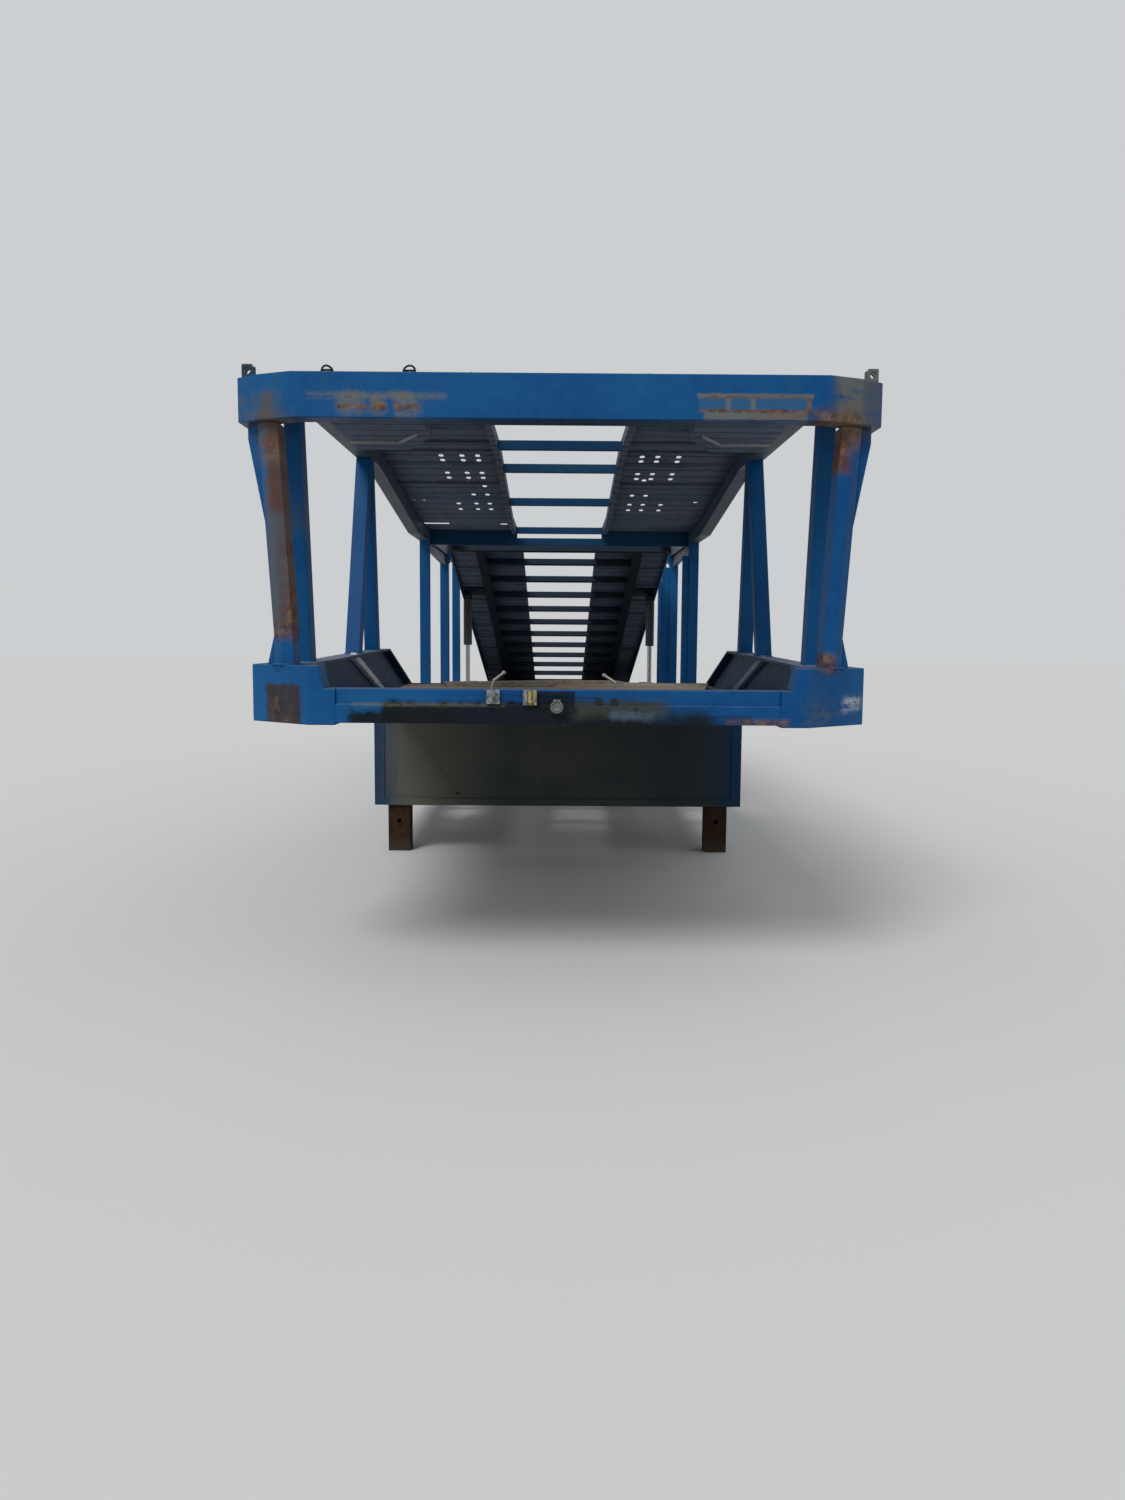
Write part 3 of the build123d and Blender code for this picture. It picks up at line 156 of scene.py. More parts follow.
class Shader:
    def __init__(self, name):
        self.material = bpy.data.materials.new(name)
        self.material.use_nodes = True
        self.tree = self.material.node_tree
        self.surface = self.tree.nodes["Principled BSDF"]
        self.place = self.node("ShaderNodeTexCoord", {}, {}, "Object")
        self.x, self.y, self.z = (self.split(self.place, letter) for letter in "XYZ")

    def node(self, kind, settings, inputs, output=0):
        made = self.tree.nodes.new(kind)
        for name, value in settings.items():
            setattr(made, name, value)
        for name, value in inputs.items():
            if isinstance(value, Wire):
                self.tree.links.new(value.socket, made.inputs[name])
            else:
                made.inputs[name].default_value = value
        return Wire(self, made.outputs[output])

    def split(self, vector, letter):
        return self.node("ShaderNodeSeparateXYZ", {}, {0: vector}, letter)

    # 1 where a face looks up, -1 where it looks down
    def facing(self):
        return self.split(self.node("ShaderNodeNewGeometry", {}, {}, "Normal"), "Z")

    def noise(self, scale, detail=3.0, rough=0.55, stretch=(1, 1, 1), shift=(0, 0, 0)):
        moved = {"Vector": self.place, "Scale": stretch, "Location": shift}
        spot = self.node("ShaderNodeMapping", {}, moved)
        grain = {"Vector": spot, "Scale": scale, "Detail": detail, "Roughness": rough}
        return self.node("ShaderNodeTexNoise", {}, grain, "Fac")

    def ramp(self, value, low, high):
        span = {"From Min": low, "From Max": high, "To Min": 0.0, "To Max": 1.0}
        return self.node("ShaderNodeMapRange", {"clamp": True}, {"Value": value, **span})

    # Sockets 6 and 7 of a Mix node are its colours, and its output 2 is the mixed one
    def blend(self, factor, first, second):
        colours = {6: first, 7: second}
        sockets = {index: c if isinstance(c, Wire) else (*c, 1) for index, c in colours.items()}
        return self.node("ShaderNodeMix", {"data_type": "RGBA"}, {0: factor, **sockets}, 2)

    # 1 inside a box of the given half sizes, falling to 0 over its soft edge
    def patch(self, centre, half, soft, wobble):
        middles = (centre[0], along(centre[1]), centre[2])
        across, ahead, above = (
            self.ramp(abs(wire - middle) + wobble, reach + soft, reach)
            for wire, middle, reach in zip((self.x, self.y, self.z), middles, half)
        )
        return across * ahead * above

    def finish(self, colour, roughness, metallic=0.0, bump=None, bumpDepth=0.002, specular=0.10):
        for name, value in (("Base Color", colour), ("Roughness", roughness), ("Metallic", metallic)):
            if isinstance(value, Wire):
                self.tree.links.new(value.socket, self.surface.inputs[name])
            else:
                self.surface.inputs[name].default_value = (*value, 1) if name == "Base Color" else value
        self.surface.inputs["Specular IOR Level"].default_value = specular
        if bump is not None:
            lumps = {"Strength": 1.0, "Distance": bumpDepth, "Height": bump}
            bent = self.node("ShaderNodeBump", {}, lumps, "Normal")
            self.tree.links.new(bent.socket, self.surface.inputs["Normal"])
        return self.material


paint = {
    "fresh": (0.0020, 0.054, 0.180),
    "faded": (0.0080, 0.090, 0.235),
    "chalk": (0.050, 0.125, 0.190),
    # dust: also lightens up-facing enamel faces, partly as painted highlight
    "dust": (0.125, 0.135, 0.140),
    "rust": (0.060, 0.030, 0.018),
    "rustBright": (0.215, 0.110, 0.045),
    # grime: also the colour of painted shade on down-facing faces and in grooves
    "grime": (0.0055, 0.0080, 0.0090),
    "pale": (0.150, 0.138, 0.095),
    "stain": (0.034, 0.024, 0.019),
    "russet": (0.085, 0.040, 0.030),
    "film": (0.080, 0.080, 0.078),
    # sunSheen: painted sun highlight on up-facing navy faces
    "sunSheen": (0.300, 0.340, 0.400),
    "moss": (0.040, 0.048, 0.040),
    "scuff": (0.075, 0.115, 0.190),
    "white": (0.420, 0.440, 0.450),
}

# Worn and dirty places on the blue paint: kind, centre (x, s, z), half sizes, soft edge, coverage, strength
bluePatches = [
    ("pale", (-0.713, 0.0, 2.384), (0.265, 0.02, 0.006), 0.014, 0.90, 0.55),
    ("pale", (-0.816, 0.0, 2.352), (0.036, 0.02, 0.022), 0.034, 1.10, 0.60),
    ("pale", (-0.710, 0.0, 2.352), (0.022, 0.02, 0.022), 0.030, 1.10, 0.60),
    ("pale", (-0.593, 0.0, 2.350), (0.030, 0.02, 0.024), 0.034, 1.10, 0.60),
    ("rust", (-0.805, 0.0, 2.341), (0.056, 0.02, 0.002), 0.010, 1.10, 0.80),
    ("rust", (-0.703, 0.0, 2.346), (0.020, 0.02, 0.007), 0.016, 1.40, 0.90),
    ("rust", (-0.600, 0.0, 2.343), (0.045, 0.02, 0.004), 0.013, 1.20, 0.85),
    ("chalk", (0.758, 0.0, 2.363), (0.215, 0.02, 0.019), 0.010, 1.60, 0.40),
    ("pale", (0.758, 0.0, 2.393), (0.222, 0.02, 0.004), 0.008, 1.20, 0.75),
    ("rust", (0.775, 0.0, 2.388), (0.195, 0.02, 0.001), 0.007, 0.95, 0.75),
    ("pale", (0.758, 0.0, 2.319), (0.195, 0.02, 0.011), 0.012, 1.50, 0.75),
    ("rust", (0.758, 0.0, 2.336), (0.215, 0.02, 0.001), 0.008, 1.20, 0.85),
    ("rust", (0.850, 0.0, 2.318), (0.110, 0.02, 0.006), 0.014, 0.75, 0.75),
    ("pale", (0.653, 0.0, 2.363), (0.005, 0.02, 0.020), 0.008, 1.50, 0.70),
    ("pale", (0.749, 0.0, 2.363), (0.005, 0.02, 0.020), 0.008, 1.50, 0.70),
    ("rust", (0.968, 0.0, 2.360), (0.004, 0.02, 0.024), 0.008, 1.10, 0.75),
    ("film", (1.180, 0.10, 2.380), (0.090, 0.25, 0.095), 0.050, 1.10, 0.72),
    ("moss", (-1.235, 0.16, 2.545), (0.050, 0.10, 0.048), 0.010, 2.00, 0.85),
    ("film", (-1.110, 0.60, 2.150), (0.100, 0.12, 0.220), 0.060, 1.30, 0.50),
    ("pale", (1.140, 0.10, 2.385), (0.040, 0.20, 0.080), 0.040, 1.00, 0.50),
    ("pale", (1.262, 0.18, 2.510), (0.040, 0.10, 0.033), 0.006, 1.60, 0.70),
    ("rust", (1.090, 0.06, 2.312), (0.090, 0.08, 0.012), 0.035, 1.00, 0.70),
    ("film", (-1.225, 0.12, 2.345), (0.060, 0.25, 0.060), 0.060, 0.80, 0.45),
    ("grime", (-0.916, 0.045, 2.486), (0.030, 0.03, 0.009), 0.003, 2.20, 0.95),
    ("grime", (-0.590, 0.045, 2.486), (0.030, 0.03, 0.009), 0.003, 2.20, 0.95),
    ("stain", (-1.118, 0.15, 1.178), (0.078, 0.16, 0.074), 0.014, 1.80, 0.90),
    ("rust", (-1.130, 0.15, 1.150), (0.030, 0.16, 0.060), 0.050, 0.60, 0.45),
    ("white", (1.215, 0.20, 1.192), (0.030, 0.08, 0.012), 0.030, 0.85, 0.80),
    ("pale", (1.120, 0.15, 1.130), (0.110, 0.15, 0.020), 0.040, 0.50, 0.30),
    ("film", (1.060, 0.02, 1.150), (0.050, 0.05, 0.040), 0.050, 0.70, 0.45),
    ("grime", (-0.150, 0.0, 1.135), (0.540, 0.02, 0.046), 0.024, 2.20, 0.97),
    ("grime", (-0.620, 0.0, 1.120), (0.205, 0.02, 0.018), 0.040, 2.20, 0.97),
    ("grime", (0.460, 0.0, 1.118), (0.130, 0.02, 0.014), 0.060, 2.00, 0.90),
    ("pale", (-0.520, 0.0, 1.186), (0.300, 0.02, 0.002), 0.012, 0.85, 0.45),
    ("moss", (0.250, 0.0, 1.168), (0.160, 0.02, 0.008), 0.045, 1.30, 0.85),
    ("scuff", (0.300, 0.0, 1.150), (0.080, 0.02, 0.006), 0.030, 0.95, 0.55),
    ("grime", (-0.011, 0.0, 1.208), (0.073, 0.02, 0.028), 0.005, 2.20, 0.90),
    ("grime", (0.640, 0.0, 1.125), (0.120, 0.02, 0.012), 0.030, 0.90, 0.60),
    ("rust", (0.800, 0.0, 1.120), (0.120, 0.02, 0.006), 0.016, 1.00, 0.65),
    ("rust", (0.840, 0.0, 1.112), (0.050, 0.02, 0.006), 0.016, 1.20, 0.80),
    ("film", (-1.116, 0.12, 1.950), (0.046, 0.08, 0.440), 0.030, 1.40, 0.85),
    ("russet", (-1.112, 0.12, 2.090), (0.038, 0.08, 0.130), 0.040, 1.20, 0.85),
    ("russet", (-1.098, 0.12, 1.750), (0.018, 0.08, 0.250), 0.024, 0.75, 0.60),
    ("rust", (-1.080, 0.12, 1.800), (0.010, 0.08, 0.300), 0.014, 0.90, 0.70),
    ("rust", (-1.112, 0.12, 1.474), (0.070, 0.08, 0.014), 0.034, 1.00, 0.75),
    ("pale", (-1.120, 0.12, 2.230), (0.060, 0.08, 0.060), 0.060, 0.90, 0.55),
    ("russet", (-1.150, 0.12, 2.250), (0.020, 0.08, 0.040), 0.050, 0.90, 0.75),
    ("rust", (-1.140, 0.12, 2.235), (0.040, 0.08, 0.050), 0.050, 0.45, 0.75),
    ("pale", (1.135, 0.12, 2.262), (0.050, 0.10, 0.032), 0.035, 1.20, 0.65),
    ("russet", (1.105, 0.12, 2.190), (0.026, 0.10, 0.050), 0.035, 1.40, 0.85),
    ("rust", (1.118, 0.12, 2.180), (0.024, 0.10, 0.044), 0.040, 0.80, 0.80),
    ("rust", (1.160, 0.12, 2.250), (0.030, 0.10, 0.020), 0.035, 0.90, 0.75),
    ("rust", (1.092, 0.12, 1.358), (0.020, 0.10, 0.022), 0.028, 1.10, 0.85),
]

# Edges at least this soft take the full wobble, harder ones a share of it
patchEdge = 0.030


def enamel(name, fresh, faded, rust, grime, patches=(), undersideShade=0.5, topDustAndSheen="dust"):
    sh = Shader(name)
    broad = sh.noise(1.3, 4)
    fine = sh.noise(24, 5, 0.62)
    grit = sh.noise(90, 4, 0.6)
    streak = sh.noise(3.0, 5, 0.62, stretch=(5, 5, 0.45))
    up = sh.facing()
    base = sh.blend(sh.ramp(broad * 0.7 + fine * 0.3, 0.38, 0.66), fresh, faded)
    base = sh.blend(sh.ramp(streak, 0.56, 0.76) * 0.15, base, paint["chalk"])
    dirt = sh.ramp(streak * 0.55 + fine * 0.45, 0.60 - 0.2 * grime, 0.80 - 0.15 * grime)
    base = sh.blend(dirt * (0.30 + 0.5 * grime), base, paint["grime"])
    # Up-facing faces blend towards dust, brightened partly as painted highlight of the light from above
    base = sh.blend(sh.ramp(up, 0.6, 0.95) * (0.25 + 0.4 * fine), base, paint[topDustAndSheen])
    # Down-facing faces darkened towards grime: painted shade
    base = sh.blend(sh.ramp(up, -0.5, -0.95) * undersideShade, base, paint["grime"])
    tone = sh.blend(sh.ramp(fine * 0.7 + grit * 0.3, 0.42, 0.60), paint["rust"], paint["rustBright"])
    chips = sh.ramp(sh.noise(6.5, 8, 0.72), 0.745 - 0.10 * rust, 0.775 - 0.10 * rust)
    worn = chips * sh.ramp(broad, 0.42, 0.58) * 0.8
    # How far the edges of the patches wander, in metres
    wobble = (streak - 0.5) * 0.030 + (fine - 0.5) * 0.060 + (grit - 0.5) * 0.03
    lying = sh.noise(4.0, 6, 0.66, stretch=(0.8, 0.8, 7))
    uneven = lying * 0.45 + fine * 0.40 + grit * 0.15
    for kind, centre, half, soft, cover, strength in patches:
        area = sh.patch(centre, half, soft, wobble * min(1.0, soft / patchEdge))
        area = area * sh.ramp(uneven, 0.60 - 0.22 * cover, 0.72 - 0.22 * cover) * strength
        if kind == "rust":
            worn = worn.larger(area)
        else:
            base = sh.blend(area, base, paint[kind])
    base = sh.blend(worn, base, tone)
    rough = 0.46 + worn * 0.40 + dirt * 0.15 + sh.ramp(up, 0.6, 0.95) * 0.2
    return sh.finish(base, rough, 0.0, fine * 0.25 + worn * 0.45 + grit * 0.15, 0.0010)


# Rusting steel of the landing legs, muddy below the height mudTop
legLook = {
    "rust": ((0.020, 0.011, 0.008), (0.050, 0.026, 0.015)),
    "scale": (0.009, 0.010, 0.012),
    "mud": (0.060, 0.050, 0.040),
    "mudTop": 0.10,
    "mudFull": 0.02,
}


def rustySteel(name):
    sh = Shader(name)
    fine = sh.noise(26, 6, 0.65)
    broad = sh.noise(3, 4)
    tone = sh.blend(sh.ramp(fine, 0.3, 0.7), *legLook["rust"])
    tone = sh.blend(sh.ramp(broad, 0.55, 0.75), tone, legLook["scale"])
    low = sh.ramp(sh.z + (fine - 0.5) * 0.06, legLook["mudTop"], legLook["mudFull"])
    tone = sh.blend(low * 0.6, tone, legLook["mud"])
    return sh.finish(tone, 0.75 + fine * 0.2, 0.1, fine, 0.002)


# Grimy bulkhead, lighter at its left end as painted sunlight and darker at its right end as painted shade,
# blue paint left along both edges
bulkheadLook = {
    "film": ((0.030, 0.043, 0.048), (0.058, 0.064, 0.058)),
    "runs": (0.085, 0.075, 0.055),
    "sunlitEnd": (0.118, 0.116, 0.090),
    "shadedEnd": (0.014, 0.027, 0.042),
    "edge": (0.008, 0.036, 0.092),
    "sunlitFrom": (-0.20, -0.75),
    "shadedFrom": (0.60, 0.90),
    "edgeFrom": (1.050, 1.190),
}


def bulkheadPaint(name):
    sh = Shader(name)
    fine = sh.noise(20, 6, 0.65)
    broad = sh.noise(1.7, 5, 0.6, stretch=(1, 1, 1.6))
    streak = sh.noise(2.4, 5, 0.6, stretch=(6, 6, 0.5))
    film = sh.blend(sh.ramp(broad, 0.35, 0.65), *bulkheadLook["film"])
    film = sh.blend(sh.ramp(streak, 0.58, 0.74) * 0.5, film, bulkheadLook["runs"])
    across = sh.x + broad * 0.3
    # Painted sunlight towards the left end, painted shade towards the right end
    film = sh.blend(sh.ramp(across, *bulkheadLook["sunlitFrom"]) * 0.65, film, bulkheadLook["sunlitEnd"])
    film = sh.blend(sh.ramp(across, *bulkheadLook["shadedFrom"]) * 0.65, film, bulkheadLook["shadedEnd"])
    outward = abs(sh.x) + (fine - 0.5) * 0.10 + (streak - 0.5) * 0.20
    film = sh.blend(sh.ramp(outward, *bulkheadLook["edgeFrom"]) * 0.85, film, bulkheadLook["edge"])
    film = sh.blend(sh.ramp(fine * 0.6 + streak * 0.4, 0.63, 0.70) * 0.7, film, paint["rust"])
    return sh.finish(film, 0.60 + fine * 0.25, 0.0, fine, 0.0012)


# Runway plates: worn brown treads above, painted and cross-welded below, the paint below made lighter as
# painted light on the shaded undersides
deckLook = {
    "above": ((0.030, 0.026, 0.024), (0.085, 0.062, 0.046)),
    "lane": (0.105, 0.090, 0.075),
    "below": ((0.078, 0.112, 0.165), (0.118, 0.146, 0.190)),
    "scale": (0.080, 0.068, 0.062),
    "weld": (0.014, 0.017, 0.022),
    "rust": (0.120, 0.058, 0.032),
    "oldBlue": (0.020, 0.045, 0.100),
    "weldEvery": 0.155,
    "ribAlong": 0.060,
    "ribAcross": 0.110,
}


def deckPlate(name):
    sh = Shader(name)
    fine = sh.noise(18, 6, 0.65)
    grit = sh.noise(70, 4, 0.6)
    broad = sh.noise(1.6, 5, 0.6)
    lane = sh.noise(2.2, 4, 0.6, stretch=(5, 0.6, 1))
    up = sh.ramp(sh.facing(), 0.2, 0.8)
    above = sh.blend(sh.ramp(broad, 0.3, 0.7), *deckLook["above"])
    above = sh.blend(sh.ramp(lane, 0.52, 0.70) * 0.6, above, deckLook["lane"])
    # Tone below: the paint, lightened as painted light
    below = sh.blend(sh.ramp(broad * 0.6 + lane * 0.4, 0.35, 0.65), *deckLook["below"])
    below = sh.blend(sh.ramp(lane * 0.5 + fine * 0.5, 0.52, 0.64) * 0.5, below, deckLook["scale"])
    weld = sh.ramp(sh.y.wave(deckLook["weldEvery"], (fine - 0.5) * 2), 0.70, 0.95)
    below = sh.blend(weld * 0.55, below, deckLook["weld"])
    tone = sh.blend(up, below, above)
    tone = sh.blend(sh.ramp(fine, 0.60, 0.70) * 0.6, tone, deckLook["rust"])
    oldPaint = sh.ramp(sh.noise(2.3, 3, 0.5, shift=(7, 3, 1)), 0.6, 0.72)
    tone = sh.blend(oldPaint * 0.5, tone, deckLook["oldBlue"])
    ribs = sh.ramp(sh.y.wave(deckLook["ribAlong"]), 0.55, 0.80)
    ribs = ribs * sh.ramp(sh.x.wave(deckLook["ribAcross"]), -0.3, 0.0)
    height = fine * 0.3 + grit * 0.1 + ribs * up * 0.9
    return sh.finish(tone, 0.62 + fine * 0.25, 0.12, height, 0.003)


# Grain stretched along x or y, and the tones of wet stains and knots
boardLook = {
    "x": (0.6, 14, 14),
    "y": (14, 0.6, 14),
    "stain": (0.060, 0.055, 0.050),
    "knot": (0.025, 0.020, 0.016),
}


def weatheredBoard(name, grainAlong, dark, light, stained):
    sh = Shader(name)
    grain = sh.noise(6, 6, 0.65, stretch=boardLook[grainAlong])
    stain = sh.noise(2.0, 5, 0.6)
    tone = sh.blend(sh.ramp(grain, 0.35, 0.65), dark, light)
    tone = sh.blend(sh.ramp(stain, 0.40, 0.66) * stained, tone, boardLook["stain"])
    tone = sh.blend(sh.ramp(sh.noise(11, 5, 0.7), 0.62, 0.70) * 0.6, tone, boardLook["knot"])
    return sh.finish(tone, 0.82, 0.0, grain, 0.0015)


def plainFinish(name, first, second, scale, roughness, metallic=0.0, dusty=0.35):
    sh = Shader(name)
    grain = sh.noise(scale, 5, 0.6)
    film = sh.noise(2.5, 5, 0.6, stretch=(1, 1, 0.7))
    tone = sh.blend(sh.ramp(grain * 0.6 + film * 0.4, 0.36, 0.64), first, second)
    tone = sh.blend(sh.ramp(film, 0.50, 0.72) * dusty, tone, paint["dust"])
    return sh.finish(tone, roughness + grain * 0.15, metallic, grain, 0.0006, specular=0.4)


# Radii of the tread and of the moulded rings on the side wall, and the cuts across the tread
tyreLook = {
    "rubber": ((0.014, 0.014, 0.014), (0.040, 0.037, 0.033)),
    "dust": (0.085, 0.075, 0.062),
    "tread": (0.366, 0.374),
    "wallOuter": (0.350, 0.330),
    "wallInner": (0.25, 0.27),
    "ringEvery": 0.016,
    "cutsRound": 96.0,
    "cutSlant": 60.0,
}


def tyreRubber(name):
    sh = Shader(name)
    fine = sh.noise(60, 4, 0.6)
    broad = sh.noise(5, 4, 0.6)
    first, second = axles["places"]
    # Measured from the middle between the axles, so that both get the same pattern
    ahead = abs(sh.y - along((first + second) / 2)) - (second - first) / 2
    above = sh.z - axles["high"]
    reach = ahead.reach(above)
    tread = sh.ramp(reach, *tyreLook["tread"])
    cuts = (above.turnFrom(ahead) * tyreLook["cutsRound"] + sh.x * tyreLook["cutSlant"]).sine()
    cuts = sh.ramp(cuts, 0.80, 0.95) * tread
    rings = sh.ramp(reach.wave(tyreLook["ringEvery"]), 0.2, 0.8)
    rings = rings * sh.ramp(reach, *tyreLook["wallOuter"]) * sh.ramp(reach, *tyreLook["wallInner"])
    tone = sh.blend(sh.ramp(broad * 0.6 + fine * 0.4, 0.35, 0.65), *tyreLook["rubber"])
    tone = sh.blend(tread * sh.ramp(broad, 0.40, 0.62) * 0.55, tone, tyreLook["dust"])
    return sh.finish(tone, 0.80, 0.0, fine * 0.25 + rings * 0.25 - cuts, 0.0025)


# Cable couplings: the left one plain grey, the right one ribbed in yellow, with painted shade between the
# ribs
couplingLook = {
    "grey": (0.230, 0.250, 0.245),
    "yellow": (0.370, 0.290, 0.050),
    "yellowFrom": (-0.132, -0.122),
    "ribbedFrom": (-0.20, -0.15),
    "ribEvery": 0.019,
    "ribPhase": 1.2,
}


def couplingColours(name):
    sh = Shader(name)
    fine = sh.noise(40, 4, 0.6)
    ribs = sh.x.wave(couplingLook["ribEvery"], couplingLook["ribPhase"])
    yellow = sh.ramp(sh.x, *couplingLook["yellowFrom"]) * sh.ramp(ribs, -0.1, 0.3)
    tone = sh.blend(yellow, couplingLook["grey"], couplingLook["yellow"])
    # Painted shade in the gaps between the ribs
    gapShade = sh.ramp(ribs, -0.5, -0.9) * sh.ramp(sh.x, *couplingLook["ribbedFrom"])
    tone = sh.blend(gapShade * 0.7, tone, paint["grime"])
    tone = sh.blend(sh.ramp(fine, 0.46, 0.62) * 0.75, tone, paint["grime"])
    return sh.finish(tone, 0.50, 0.0, fine, 0.0006)


# Electric socket: grey lid with painted shade in the groove round it, and painted shade round the lid below
# the height of its top
socketLook = {
    "middle": (-0.006, 1.180),
    "lid": ((0.175, 0.190, 0.185), (0.095, 0.100, 0.095)),
    "shadeRoundLid": (0.012, 0.014, 0.014),
    "groove": 0.019,
    "grooveWide": (0.0022, 0.0008),
    "lidRadius": (0.0254, 0.0262),
    "shadeTop": (1.203, 1.201),
}


def socketColours(name):
    sh = Shader(name)
    fine = sh.noise(50, 4, 0.6)
    x, z = socketLook["middle"]
    reach = (sh.x - x).reach(sh.z - z)
    groove = sh.ramp(abs(reach - socketLook["groove"]), *socketLook["grooveWide"])
    tone = sh.blend(sh.ramp(fine, 0.35, 0.60), *socketLook["lid"])
    # Painted shade in the groove
    tone = sh.blend(groove * 0.5, tone, paint["grime"])
    # Painted shade round the lid below the height of its top
    shadeRoundLid = sh.ramp(reach, *socketLook["lidRadius"]) * sh.ramp(sh.z, *socketLook["shadeTop"])
    tone = sh.blend(shadeRoundLid, tone, socketLook["shadeRoundLid"])
    return sh.finish(tone, 0.50, 0.0, fine * 0.5 - groove * 1.5, 0.0010)


greaseLook = {"grease": ((0.010, 0.009, 0.008), (0.034, 0.026, 0.018)), "steel": (0.110, 0.105, 0.100)}


def greasySteel(name):
    sh = Shader(name)
    fine = sh.noise(24, 5, 0.6)
    broad = sh.noise(5, 4)
    tone = sh.blend(sh.ramp(fine, 0.35, 0.62), *greaseLook["grease"])
    tone = sh.blend(sh.ramp(broad, 0.60, 0.72) * 0.5, tone, greaseLook["steel"])
    return sh.finish(tone, 0.30 + fine * 0.25, 0.3, fine, 0.0012, specular=0.4)


# Fresh and faded paint, and the dark and light tones of wood
navy = ((0.003, 0.034, 0.095), (0.012, 0.056, 0.120))
rail = ((0.034, 0.060, 0.098), (0.080, 0.104, 0.128))
darkBlue = ((0.006, 0.020, 0.042), (0.020, 0.028, 0.036))
plywood = ((0.120, 0.085, 0.055), (0.270, 0.200, 0.130))
looseWood = ((0.210, 0.170, 0.120), (0.420, 0.360, 0.270))
materials = {
    "blue_paint": enamel("bluePaint", paint["fresh"], paint["faded"], 0.25, 0.15, bluePatches),
    # Navy paint takes a painted sun highlight on its up-facing faces
    "navy_paint": enamel("navyPaint", *navy, 0.4, 0.4, topDustAndSheen="sunSheen"),
    "rail_paint": enamel("railPaint", *rail, 0.7, 0.4, undersideShade=0.1),
    "dark_paint": enamel("darkPaint", *darkBlue, 0.6, 0.7),
    "bulkhead_paint": bulkheadPaint("bulkheadPaint"),
    "tread_plate": deckPlate("deckPlate"),
    "rusty_steel": rustySteel("rustySteel"),
    "plywood": weatheredBoard("floorBoard", "y", *plywood, 0.75),
    "steel": plainFinish("wornSteel", (0.16, 0.15, 0.14), (0.30, 0.29, 0.28), 30, 0.4, 0.7),
    "tyre": tyreRubber("tyreRubber"),
    "wheel_paint": plainFinish("wheelSilver", (0.20, 0.20, 0.20), (0.38, 0.38, 0.39), 12, 0.45, 0.3),
    "axle_paint": plainFinish("chassisBlack", (0.012, 0.012, 0.013), (0.045, 0.038, 0.032), 16, 0.6),
    "bellows": plainFinish("bellowsRubber", (0.010, 0.010, 0.010), (0.030, 0.029, 0.027), 20, 0.7),
    "lamp_red": plainFinish("lampRed", (0.28, 0.008, 0.006), (0.40, 0.014, 0.010), 60, 0.2),
    "yellow_plastic": couplingColours("couplingPaint"),
    "grey_plastic": socketColours("socketColours"),
    "cylinder_black": plainFinish("cylinderBlack", (0.008, 0.008, 0.009), (0.026, 0.023, 0.021), 15, 0.35),
    "chrome_rod": plainFinish("chromeRod", (0.33, 0.33, 0.34), (0.52, 0.52, 0.53), 30, 0.2, 1.0),
}
extraMaterials = {
    "looseBoard": weatheredBoard("looseBoard", "x", *looseWood, 0.45),
    "grease": greasySteel("kingpinGrease"),
    # Pale lip colour: painted highlight on the lip edges
    "lip": plainFinish("paleLipHighlight", (0.230, 0.235, 0.240), (0.330, 0.335, 0.340), 20, 0.6),
    "rubber": plainFinish("grommetRubber", (0.006, 0.006, 0.007), (0.012, 0.012, 0.013), 60, 0.6, dusty=0.05),
    # Brace finishes: lit copies of one paint, painted sunlight on the left brace and weaker painted light on
    # the right
    "braceSunlit": plainFinish("sunlitBrace", (0.420, 0.460, 0.500), (0.620, 0.660, 0.700), 14, 0.5),
    "braceHalfLit": plainFinish("halfLitBlueBrace", (0.110, 0.150, 0.215), (0.190, 0.240, 0.310), 14, 0.5),
    "amber": plainFinish("amberLens", (0.50, 0.16, 0.010), (0.62, 0.22, 0.015), 60, 0.2),
    "clear": plainFinish("clearLens", (0.45, 0.45, 0.44), (0.58, 0.58, 0.56), 60, 0.15),
    "zinc": plainFinish("zincBolt", (0.20, 0.19, 0.17), (0.34, 0.32, 0.28), 80, 0.45, 0.8),
}
slotOf = {part["node"]: part["material_slot"] for part in frame["record"]["subparts"]}
for name, thing in nodes.items():
    thing.data.materials.clear()
    thing.data.materials.append(materials[slotOf[name]])
for name in ("kingpin", "coupling_plate"):
    nodes[name].data.materials[0] = extraMaterials["grease"]
print("finishes made")

# Rolled and welded edges of the parts nearest the camera are rounded off: metres, degrees, node and radius
roundedEdges = {
    "weld": 0.0001,
    "angle": 40,
    "radii": (
        ("top_beam", 0.004),
        ("corner_blocks", 0.005),
        ("front_beam", 0.003),
        ("front_posts", 0.005),
        ("second_posts", 0.005),
        ("a_frames", 0.005),
        ("side_posts", 0.003),
        ("bulkhead", 0.0015),
    ),
}


def roundEdges():
    for name, radius in roundedEdges["radii"]:
        weld = nodes[name].modifiers.new("joinCorners", "WELD")
        weld.merge_threshold = roundedEdges["weld"]
        bevel = nodes[name].modifiers.new("roundEdges", "BEVEL")
        bevel.width = radius
        bevel.segments = 2
        bevel.limit_method = "ANGLE"
        bevel.angle_limit = math.radians(roundedEdges["angle"])


roundEdges()
print("edges rounded")


def addPiece(name, shape, material, body, smoothAngle=35):
    mesh = bpy.data.meshes.new(name)
    shape.to_mesh(mesh)
    shape.free()
    mesh.materials.append(material)
    mesh.shade_smooth()
    mesh.set_sharp_from_angle(angle=math.radians(smoothAngle))
    thing = bpy.data.objects.new(name, mesh)
    bpy.context.scene.collection.objects.link(thing)
    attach(thing, body)
    return thing


